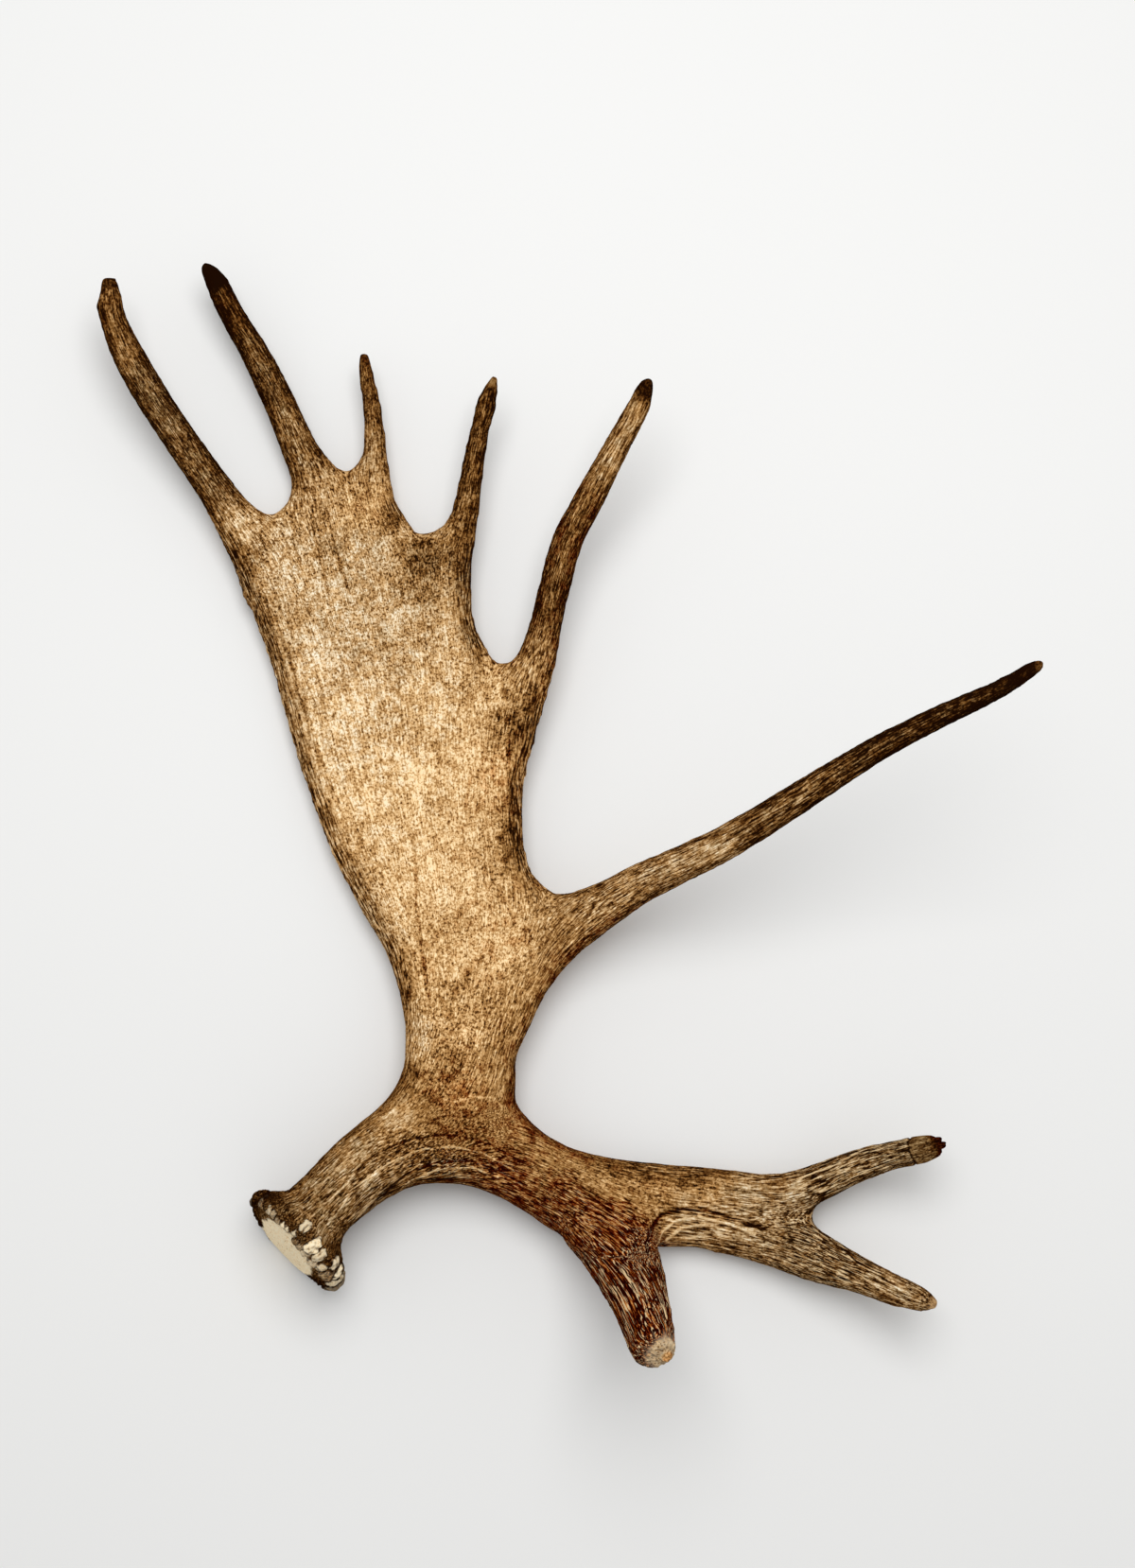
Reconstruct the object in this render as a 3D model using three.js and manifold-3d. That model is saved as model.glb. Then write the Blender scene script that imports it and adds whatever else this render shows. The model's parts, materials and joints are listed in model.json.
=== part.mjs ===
// Moose antler, a single shed beam with a dished palm and nine points, lying on the convex back
// of its palm. Millimetres, +Z up. +Y runs up the palm towards its fingers, +X towards the brow
// points. The origin is on the surface that it lies on, under the middle of the whole antler.

import * as THREE from "three";
import { mergeVertices } from "three/addons/utils/BufferGeometryUtils.js";
import Module from "manifold-3d";

const wasm = await Module();
wasm.setup();

// ---- driving dimensions ----

const CLEARANCE = 0.3; // gap left where two pieces meet at a fork
const SPAN_STEPS = 2; // rings made for each span between two sections, past the fork
const TANGENT_STEP = 0.004; // share of a limb's length used to find its direction
const FAR = 900; // larger than the antler, for the blocks that cut it
const MERGE_DISTANCE = 1e-4; // corners this close are one corner

// The palm is a dish that the fingers carry on: nearly straight along its keel, rising to the sides.
const KEEL_LOW = new THREE.Vector2(-156, 90); // lowest point of the keel
const KEEL_ROOT = new THREE.Vector2(-77, -211);
const KEEL_CROWN = new THREE.Vector2(-182, 188);
const KEEL_HEIGHT = 6.2; // middle of the bone above the surface at the lowest point
const DISH_HALF_WIDTH = 94.5; // where the sides turn from curved to nearly straight
const DISH_LIFT = 39.7; // rise of the sides over that width
const KEEL_BOW = 4000; // twice the radius of the keel's bow, lengthwise

// The burr is the knobbly collar round the seal, where the antler left the skull.
const BURR_CENTRE = new THREE.Vector3(-196, -332, 42.6);
const BURR_FACING = new THREE.Vector3(-0.69, -0.663, 0.276).normalize(); // out of the seal
const BURR_PROFILE = [
  [0, 7], [20, 6.5], [30, 4], [38, 5.5], [43, 3], [44.5, -3], [41, -10], [33, -15], [25, -22], [0, -24],
]; // radius, distance along the facing
const BURR_SIDES = 20;
const BURR_LOBES = [
  { count: 3, depth: 0.035, turn: 0.4 },
  { count: 7, depth: 0.025, turn: 1.1 },
]; // waves round the rim, as a share of its radius

// Each limb is a list of sections from its root to its tip:
// left edge x, y, right edge x, y, height of its middle, thickness.
// On the beam, the brow palm and the brow points the height is above the surface it lies on;
// on the palm and its fingers it is above the dish.

const BEAM = {
  dished: false, sides: 20, bluntness: 2.2, tipBulge: 0.3,
  sections: [
    [-199, -295, -169, -339, 44, 50],
    [-191, -288, -162, -328, 42.5, 51],
    [-179, -275, -150, -317, 40.5, 51],
    [-163, -259, -131, -302, 37.5, 50],
    [-145, -244, -103, -291, 34, 48],
    [-131, -230, -63, -289, 31, 46],
    [-122, -216, -41, -257, 31, 42],
    [-118, -199, -37, -216, 31.5, 37],
    [-116, -179, -36, -182, 32, 26],
  ],
};

const PALM = {
  dished: true, sides: 24, bluntness: 3, tipBulge: 0.4,
  sections: [
    [-116, -216, -46, -223, 0, 32],
    [-118, -196, -38, -201, 0, 35.5],
    [-118, -182, -30, -184, 0, 31],
    [-123, -154, -17, -156, 0, 25],
    [-134, -123, -6, -129, 0, 20],
    [-154, -90, -14, -103, 0, 16],
    [-176, -49, -30, -48, 0, 14],
    [-192, -7, -32, -12, 0, 14],
    [-203, 24, -28, 15, 0, 14],
    [-215, 64, -19, 54, 0, 14],
    [-224, 95, -45, 83, 0, 14],
    [-235, 125, -66, 118, 0, 14],
    [-246, 154, -70, 142, 0, 14],
    [-256, 177, -70, 165, 0, 14],
  ],
};

// The five fingers of the palm, from its outer edge round to its inner edge.
const FINGER_1 = {
  dished: true, sides: 14, bluntness: 2.3, tipBulge: 0.8, fork: 4,
  sections: [
    [-243, 137, -163, 140, 0, 9],
    [-253, 168, -189, 170, 0, 12],
    [-263, 190, -211, 193, 0, 13.5],
    [-269, 202, -226, 208, 0, 14],
    [-276, 216, -241, 219, 0, 15],
    [-283, 227, -251, 231, 0, 16.5],
    [-295, 245, -271, 257, 0, 19],
    [-318, 279, -294, 289, 0, 20],
    [-338, 313, -316, 325, 0, 19],
    [-349, 343, -331, 352, 0, 17],
    [-352, 362, -336, 367, 1, 14],
    [-347, 373, -336, 374, 2, 9],
  ],
};

const FINGER_2 = {
  dished: true, sides: 14, bluntness: 2.3, tipBulge: 0.8, fork: 4,
  sections: [
    [-240, 155, -137, 157, 0, 9],
    [-237, 183, -147, 195, 0, 12],
    [-225, 205, -165, 241, 0, 13.5],
    [-216, 214, -172, 245, 0, 14],
    [-211, 224, -177, 250, 0, 15],
    [-210, 237, -182, 255, 0, 16.5],
    [-217, 257, -192, 268, 0, 19],
    [-232, 295, -209, 304, 0, 18],
    [-250, 333, -230, 342, 0, 16.5],
    [-264, 358, -246, 366, 0, 15],
    [-274, 381, -257, 388, 0, 12],
    [-275, 391, -262, 393, 0, 9.5],
  ],
};

const FINGER_3 = {
  dished: true, sides: 12, bluntness: 2.3, tipBulge: 0.8, fork: 4,
  sections: [
    [-196, 176, -92, 150, 0, 9],
    [-180, 215, -108, 186, 0, 12.5],
    [-168, 241, -123, 209, 0, 13],
    [-161, 248, -130, 219, 0, 13.5],
    [-156, 255, -132, 231, 0, 14],
    [-154, 265, -135, 247, 0, 14],
    [-154, 278, -138, 272, 0, 14],
    [-156, 298, -142, 298, 0, 13],
    [-158, 313, -146, 313, 0, 11],
    [-159, 323, -148, 323, 0, 10],
  ],
};

const FINGER_4 = {
  dished: true, sides: 12, bluntness: 2.3, tipBulge: 0.8, fork: 5,
  sections: [
    [-150, 168, -74, 132, 0, 9],
    [-127, 185, -71, 156, 0, 12],
    [-111, 193, -70, 170, 0, 13],
    [-101, 195, -69, 180, 0, 13],
    [-92, 200, -68, 189, 0, 13.5],
    [-87, 210, -66, 203, 0, 15],
    [-83, 226, -64, 223, 0, 16],
    [-78, 247, -62, 243, 0, 15],
    [-73, 269, -58, 265, 0, 13.5],
    [-66, 288, -55, 283, 0, 11],
    [-60, 300, -53, 298, 0, 7],
  ],
};

const FINGER_5 = {
  dished: true, sides: 14, bluntness: 2.3, tipBulge: 0.6, fork: 3,
  sections: [
    [-92, 60, -30, 22, 0, 9],
    [-66, 79, -18, 50, 0, 12.5],
    [-49, 90, -11, 77, 0, 15],
    [-39, 96, -8, 90, 0, 17],
    [-34, 105, -6, 102, 0, 19],
    [-27, 123, -4, 118, 0, 21],
    [-19, 157, 5, 154, 0, 21],
    [-10, 186, 13, 180, 1, 20],
    [5, 213, 26, 203, 2, 19],
    [27, 248, 45, 240, 4, 17],
    [44, 275, 60, 268, 6, 14],
    [53, 288, 63, 284, 7, 9],
  ],
};

// The long point that leaves the palm's inner edge low down.
const LONG_POINT = {
  dished: true, sides: 14, bluntness: 2.2, tipBulge: 0.5, fork: 4,
  sections: [
    [-50, -40, -62, -170, 0, 10],
    [-30, -57, -36, -180, 0, 15],
    [-17, -75, -19, -160, 0, 18],
    [-7, -81, 0, -134, 0, 21],
    [7, -79, 23, -115, 1, 24],
    [28, -72, 42, -101, 3, 25],
    [49, -62, 62, -88, 5, 24.5],
    [103, -41, 114, -64, 10, 23],
    [159, -11, 169, -31, 15, 21.5],
    [210, 17, 219, 1, 20, 19],
    [255, 37, 263, 23, 23, 17],
    [293, 51, 300, 40, 25, 14],
    [316, 62, 320, 54, 26, 9],
  ],
};

const BROW_PALM = {
  dished: false, sides: 20, bluntness: 2.4, tipBulge: 0.3, fork: 3,
  sections: [
    [-89, -233, -110, -291, 30, 44],
    [-62, -230, -86, -290, 29, 44],
    [-39, -234, -67, -294, 28, 43],
    [-24, -250, -42, -304, 26, 41],
    [3, -266, -14, -323, 23, 38],
    [38, -274, 24, -340, 19.5, 35],
    [76, -278, 65, -337, 16.5, 32],
    [114, -281, 103, -338, 14, 29],
    [142, -285, 131, -341, 13, 26],
  ],
};

// The three brow points: the first stands up from the brow palm, the others carry it on.
const BROW_POINT_1 = {
  dished: false, sides: 16, bluntness: 2.1, tipBulge: 0.25, fork: 2.5,
  sections: [
    [60, -298, -3, -294, 24, 26],
    [66, -315, -12, -312, 30, 34],
    [65, -330, -4, -327, 42, 37],
    [66, -343, 9, -341, 60, 36],
    [69, -357, 22, -360, 90, 34],
    [70, -372, 32, -376, 120, 32],
    [72, -386, 39, -392, 150, 30],
    [72, -397, 43, -401, 170, 28],
  ],
};

const BROW_POINT_2 = {
  dished: false, sides: 14, bluntness: 2.2, tipBulge: 0.4, fork: 2.4,
  sections: [
    [114, -283, 131, -325, 14.5, 22],
    [138, -285, 153, -320, 16, 26],
    [157, -284, 167, -314, 19, 26],
    [179, -278, 191, -302, 24, 25],
    [208, -267, 217, -289, 33, 23.5],
    [235, -261, 241, -280, 43, 21],
    [255, -257, 258, -276, 51, 19],
    [266, -258, 268, -269, 55, 15],
  ],
};

const BROW_POINT_3 = {
  dished: false, sides: 14, bluntness: 2.2, tipBulge: 0.7, fork: 2.4,
  sections: [
    [131, -300, 100, -340, 14.5, 23],
    [148, -305, 121, -344, 16, 27],
    [168, -315, 146, -351, 18, 27],
    [187, -327, 171, -360, 24, 26],
    [218, -346, 208, -369, 37, 22],
    [242, -358, 234, -378, 49, 18],
    [255, -366, 252, -380, 56, 14],
    [261, -372, 259, -379, 59, 9],
  ],
};

// Where the beam ends and the palm begins: a straight line across the neck.
const NECK_LEFT = new THREE.Vector3(-118, -199, 0);
const NECK_RIGHT = new THREE.Vector3(-38, -201, 0);

// The block that separates the standing brow point from the brow palm, across its root.
const STANDING_POINT_WIDTH = 130;

// ---- bone colours ----

const COLOURS = {
  palm: 0xc9a878,
  beam: 0x9a7a52,
  point: 0x80603a,
  brow: 0x8f6b42,
};
const BONE_ROUGHNESS = 0.62;

function bone(colour) {
  return new THREE.MeshStandardMaterial({ color: colour, roughness: BONE_ROUGHNESS, metalness: 0 });
}

// ---- the dish ----

const KEEL_ALONG = KEEL_CROWN.clone().sub(KEEL_ROOT).normalize();
const KEEL_ACROSS = new THREE.Vector2(KEEL_ALONG.y, -KEEL_ALONG.x);

function dishHeight(x, y) {
  const fromLow = new THREE.Vector2(x, y).sub(KEEL_LOW);
  const along = fromLow.dot(KEEL_ALONG);
  const across = fromLow.dot(KEEL_ACROSS) / DISH_HALF_WIDTH;
  return KEEL_HEIGHT + DISH_LIFT * (Math.sqrt(1 + across * across) - 1) + along ** 2 / KEEL_BOW;
}

// ---- limbs ----

function smoothCurve(points) {
  return new THREE.CatmullRomCurve3(points, false, "centripetal");
}

// Turns a limb's list of sections into smooth curves for its edges and its body.
function curvesOf(limb) {
  return {
    ...limb,
    left: smoothCurve(limb.sections.map(([x, y]) => new THREE.Vector3(x, y, 0))),
    right: smoothCurve(limb.sections.map(([, , x, y]) => new THREE.Vector3(x, y, 0))),
    body: smoothCurve(limb.sections.map(([, , , , height, thickness]) => new THREE.Vector3(height, thickness, 0))),
    ground: limb.dished ? dishHeight : () => 0,
  };
}

function middleAt(limb, t) {
  const middle = limb.left.getPoint(t).add(limb.right.getPoint(t)).multiplyScalar(0.5);
  middle.z = limb.ground(middle.x, middle.y) + limb.body.getPoint(t).x;
  return middle;
}

// The cross-section plane at t: its middle, the half-width across, and the directions up and forward.
function frameAt(limb, t) {
  const body = limb.body.getPoint(t);
  const middle = middleAt(limb, t);
  const across = limb.right.getPoint(t).sub(limb.left.getPoint(t)).multiplyScalar(0.5);
  const ahead = middleAt(limb, Math.min(t + TANGENT_STEP, 1));
  const forward = ahead.sub(middleAt(limb, Math.max(t - TANGENT_STEP, 0))).normalize();
  const up = across.clone().cross(forward).normalize();
  return { middle, across, forward: up.clone().cross(across).normalize(), up, rise: body.x, thickness: body.y };
}

function blunt(value, bluntness) {
  return Math.sign(value) * Math.abs(value) ** (2 / bluntness);
}

// One closed ring round the limb, shrunk by scale and moved forward by push.
function ringPoints(limb, frame, scale, push) {
  const points = [];
  for (let i = 0; i < limb.sides; i++) {
    const angle = (i / limb.sides) * Math.PI * 2;
    const across = blunt(Math.cos(angle), limb.bluntness) * scale;
    const lift = blunt(Math.sin(angle), limb.bluntness) * scale * (frame.thickness / 2);
    const point = frame.middle.clone().addScaledVector(frame.across, across);
    point.z = limb.ground(point.x, point.y) + frame.rise;
    point.addScaledVector(frame.up, lift).addScaledVector(frame.forward, push);
    points.push(point);
  }
  return points;
}

// Joins rings of equal size into one closed surface, with a point at each end.
function skin(rings, start, end) {
  const sides = rings[0].length;
  const positions = [...rings.flat(), start, end].flatMap((point) => point.toArray());
  const startIndex = rings.length * sides;
  const indices = [];
  for (let i = 0; i < sides; i++) {
    const next = (i + 1) % sides;
    for (let ring = 0; ring < rings.length - 1; ring++) {
      const here = ring * sides;
      const there = here + sides;
      indices.push(here + i, there + i, here + next, here + next, there + i, there + next);
    }
    const last = (rings.length - 1) * sides;
    indices.push(startIndex, i, next, startIndex + 1, last + next, last + i);
  }
  const geometry = new THREE.BufferGeometry();
  geometry.setAttribute("position", new THREE.Float32BufferAttribute(positions, 3));
  geometry.setIndex(indices);
  return geometry;
}

const TIP_ROUNDING = [
  { scale: 0.86, push: 0.5 },
  { scale: 0.52, push: 0.85 },
]; // rings that round off a tip, as shares of its size

function limbGeometry(limb) {
  const spans = limb.sections.length - 1;
  const rings = [];
  for (let span = 0; span < spans; span++) {
    const steps = span + 1 < (limb.fork ?? 0) ? 1 : SPAN_STEPS;
    for (let step = 0; step < steps; step++) {
      rings.push(ringPoints(limb, frameAt(limb, (span + step / steps) / spans), 1, 0));
    }
  }
  rings.push(ringPoints(limb, frameAt(limb, 1), 1, 0));
  const tip = frameAt(limb, 1);
  const reach = (tip.thickness / 2) * limb.tipBulge;
  for (const { scale, push } of TIP_ROUNDING) {
    rings.push(ringPoints(limb, tip, scale, push * reach));
  }
  const end = tip.middle.clone().addScaledVector(tip.forward, reach);
  return skin(rings, frameAt(limb, 0).middle, end);
}

// ---- solids ----

function solidFrom(geometry) {
  const bare = geometry.index ? geometry.toNonIndexed() : geometry.clone();
  bare.deleteAttribute("normal");
  bare.deleteAttribute("uv");
  const merged = mergeVertices(bare, MERGE_DISTANCE);
  const mesh = new wasm.Mesh({
    numProp: 3,
    vertProperties: new Float32Array(merged.attributes.position.array),
    triVerts: new Uint32Array(merged.index.array),
  });
  return new wasm.Manifold(mesh);
}

function geometryFrom(solid) {
  const { vertProperties, triVerts } = solid.getMesh();
  const geometry = new THREE.BufferGeometry();
  geometry.setAttribute("position", new THREE.BufferAttribute(new Float32Array(vertProperties), 3));
  geometry.setIndex(new THREE.BufferAttribute(new Uint32Array(triVerts), 1));
  geometry.computeVertexNormals();
  return geometry;
}

// A block whose near face crosses the limb at a plane, reaching forward from it.
function blockBeyond(frame, offset, width) {
  const block = new THREE.BoxGeometry(width, FAR, width);
  const side = frame.across.clone().normalize();
  const turn = new THREE.Matrix4().makeBasis(side, frame.forward, frame.up);
  const centre = frame.middle.clone().addScaledVector(frame.forward, FAR / 2 + offset);
  return solidFrom(block.applyMatrix4(turn.setPosition(centre)));
}

// Splits a limb across its fork into the root that stays and the point that is its own piece.
function splitAtFork(limb) {
  const solid = solidFrom(limbGeometry(limb));
  const frame = frameAt(limb, limb.fork / (limb.sections.length - 1));
  return {
    frame,
    root: solid.subtract(blockBeyond(frame, -CLEARANCE / 2, FAR)),
    point: solid.intersect(blockBeyond(frame, CLEARANCE / 2, FAR)),
  };
}

function joined(solids) {
  return solids.reduce((whole, solid) => whole.add(solid));
}

// The collar round the seal: a turned shape with lobes round its rim, faced along BURR_FACING.
function burrSolid() {
  const profile = BURR_PROFILE.map(([radius, along]) => new THREE.Vector2(radius, along)).reverse();
  const burr = new THREE.LatheGeometry(profile, BURR_SIDES);
  const position = burr.attributes.position;
  for (let i = 0; i < position.count; i++) {
    const angle = Math.atan2(position.getZ(i), position.getX(i));
    const waves = BURR_LOBES.reduce((sum, lobe) => sum + lobe.depth * Math.sin(lobe.count * angle + lobe.turn), 1);
    position.setX(i, position.getX(i) * waves);
    position.setZ(i, position.getZ(i) * waves);
  }
  const turn = new THREE.Quaternion().setFromUnitVectors(new THREE.Vector3(0, 1, 0), BURR_FACING);
  burr.applyMatrix4(new THREE.Matrix4().makeRotationFromQuaternion(turn).setPosition(BURR_CENTRE));
  return solidFrom(burr);
}

// ---- the antler's pieces ----

const fingers = [FINGER_1, FINGER_2, FINGER_3, FINGER_4, FINGER_5].map((limb) => splitAtFork(curvesOf(limb)));
const longPoint = splitAtFork(curvesOf(LONG_POINT));
const browPalm = splitAtFork(curvesOf(BROW_PALM));
const browPoints = [BROW_POINT_1, BROW_POINT_2, BROW_POINT_3].map((limb) => splitAtFork(curvesOf(limb)));

const neckFrame = {
  middle: NECK_LEFT.clone().add(NECK_RIGHT).multiplyScalar(0.5),
  across: NECK_RIGHT.clone().sub(NECK_LEFT),
  up: new THREE.Vector3(0, 0, 1),
  forward: new THREE.Vector3(0, 0, 1).cross(NECK_RIGHT.clone().sub(NECK_LEFT)).normalize(),
};
const beamSolid = solidFrom(limbGeometry(curvesOf(BEAM)));
const palmSolid = solidFrom(limbGeometry(curvesOf(PALM)));
const trunk = joined([beamSolid, palmSolid, longPoint.root, ...fingers.map((finger) => finger.root)]);
const standingBlock = blockBeyond(browPoints[0].frame, -CLEARANCE / 2, STANDING_POINT_WIDTH);

const belowNeck = trunk.subtract(blockBeyond(neckFrame, -CLEARANCE / 2, FAR));

const solids = {
  burr_and_beam: joined([belowNeck, browPalm.root, burrSolid()]),
  main_palm: trunk.intersect(blockBeyond(neckFrame, CLEARANCE / 2, FAR)),
  palm_finger_1: fingers[0].point,
  palm_finger_2: fingers[1].point,
  palm_finger_3: fingers[2].point,
  palm_finger_4: fingers[3].point,
  palm_finger_5: fingers[4].point,
  long_point: longPoint.point,
  brow_palm: joined([browPalm.point, ...browPoints.map((point) => point.root)]).subtract(standingBlock),
  brow_point_1: browPoints[0].point,
  brow_point_2: browPoints[1].point,
  brow_point_3: browPoints[2].point,
};

const materials = {
  burr_and_beam: bone(COLOURS.beam),
  main_palm: bone(COLOURS.palm),
  brow_palm: bone(COLOURS.brow),
};

// Everything below the surface is worn off flat, which leaves the small faces that it rests on.
const below = new THREE.BoxGeometry(FAR * 2, FAR * 2, FAR).translate(0, 0, -FAR / 2);
const worn = Object.entries(solids).map(([name, solid]) => [name, geometryFrom(solid.subtract(solidFrom(below)))]);

const bounds = new THREE.Box3();
for (const [, geometry] of worn) {
  geometry.computeBoundingBox();
  bounds.union(geometry.boundingBox);
}
const centre = bounds.getCenter(new THREE.Vector3());

const antler = new THREE.Group();
for (const [name, geometry] of worn) {
  geometry.translate(-centre.x, -centre.y, 0);
  const piece = new THREE.Mesh(geometry, materials[name] ?? bone(COLOURS.point));
  piece.name = name;
  antler.add(piece);
}

export default antler;
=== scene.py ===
"""A shed moose antler that lies on the back of its palm: the relief, colours and finish of its bone."""

import itertools
import json
import math

import bmesh
import bpy
import numpy as np
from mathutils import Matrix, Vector
from mathutils.bvhtree import BVHTree


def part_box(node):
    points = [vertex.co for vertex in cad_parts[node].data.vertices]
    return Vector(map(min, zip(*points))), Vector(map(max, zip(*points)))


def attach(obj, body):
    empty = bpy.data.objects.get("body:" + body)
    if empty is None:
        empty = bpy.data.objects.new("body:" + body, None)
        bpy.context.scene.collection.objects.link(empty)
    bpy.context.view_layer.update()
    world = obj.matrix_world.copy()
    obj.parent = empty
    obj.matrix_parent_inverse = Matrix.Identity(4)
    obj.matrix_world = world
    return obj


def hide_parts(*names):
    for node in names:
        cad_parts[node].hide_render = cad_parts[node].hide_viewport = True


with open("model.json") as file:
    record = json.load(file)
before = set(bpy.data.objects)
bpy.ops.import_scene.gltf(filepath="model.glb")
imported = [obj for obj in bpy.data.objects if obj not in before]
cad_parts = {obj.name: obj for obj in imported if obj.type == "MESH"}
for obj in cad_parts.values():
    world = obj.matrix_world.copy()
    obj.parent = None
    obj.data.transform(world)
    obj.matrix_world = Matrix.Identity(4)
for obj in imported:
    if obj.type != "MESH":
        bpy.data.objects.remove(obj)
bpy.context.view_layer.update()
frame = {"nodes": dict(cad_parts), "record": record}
bpy.ops.object.select_all(action="DESELECT")

# Lengths are in millimetres and turned into metres by MM where a mesh, lamp or camera needs them.
MM = 0.001

# Which limb each limb grows from.
GROWS_FROM = {
    "main_palm": "burr_and_beam",
    "brow_palm": "burr_and_beam",
    "palm_finger_1": "main_palm",
    "palm_finger_2": "main_palm",
    "palm_finger_3": "main_palm",
    "palm_finger_4": "main_palm",
    "palm_finger_5": "main_palm",
    "long_point": "main_palm",
    "brow_point_1": "brow_palm",
    "brow_point_2": "brow_palm",
    "brow_point_3": "brow_palm",
}

# How the limbs become one skin, and where that is cut into limbs again.
SWELL = 0.35
VALLEY_RADIUS = 7.0
VALLEY_TURNS = 4
VOXEL = 3.0
SMOOTH_TURNS = 26
SMOOTH_IN = 0.5
SMOOTH_OUT = -0.52
JOIN_DISTANCE = 0.01
FORK_GAP = 0.45
FINE_FROM = 0.50
CUT_BAND = 3.0
CUT_MARGIN = 7.0
CUT_SHIFT = 5.0

# The plan that the growth lines are found on.
CELL = 3.0
SOLVER_STEPS = 1600
SOLVER_GOAL = 1e-7
FLOW_SOFTENING = 10
WEAKEST_FLOW = 0.0014
PLAN_MARGIN = 4
SINK_REACH = 9.0
BURR_MIDDLE = (-180.2, -323.4, 42.6)
BURR_FACING = (-0.693, -0.666, 0.277)
BURR_RADIUS = 45.0
# The share of the growth that ends in each point, which goes with its width.
POINT_SHARES = {
    "palm_finger_1": 0.13,
    "palm_finger_2": 0.12,
    "palm_finger_3": 0.08,
    "palm_finger_4": 0.09,
    "palm_finger_5": 0.13,
    "long_point": 0.15,
    "brow_point_1": 0.12,
    "brow_point_2": 0.09,
    "brow_point_3": 0.09,
}

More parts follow.
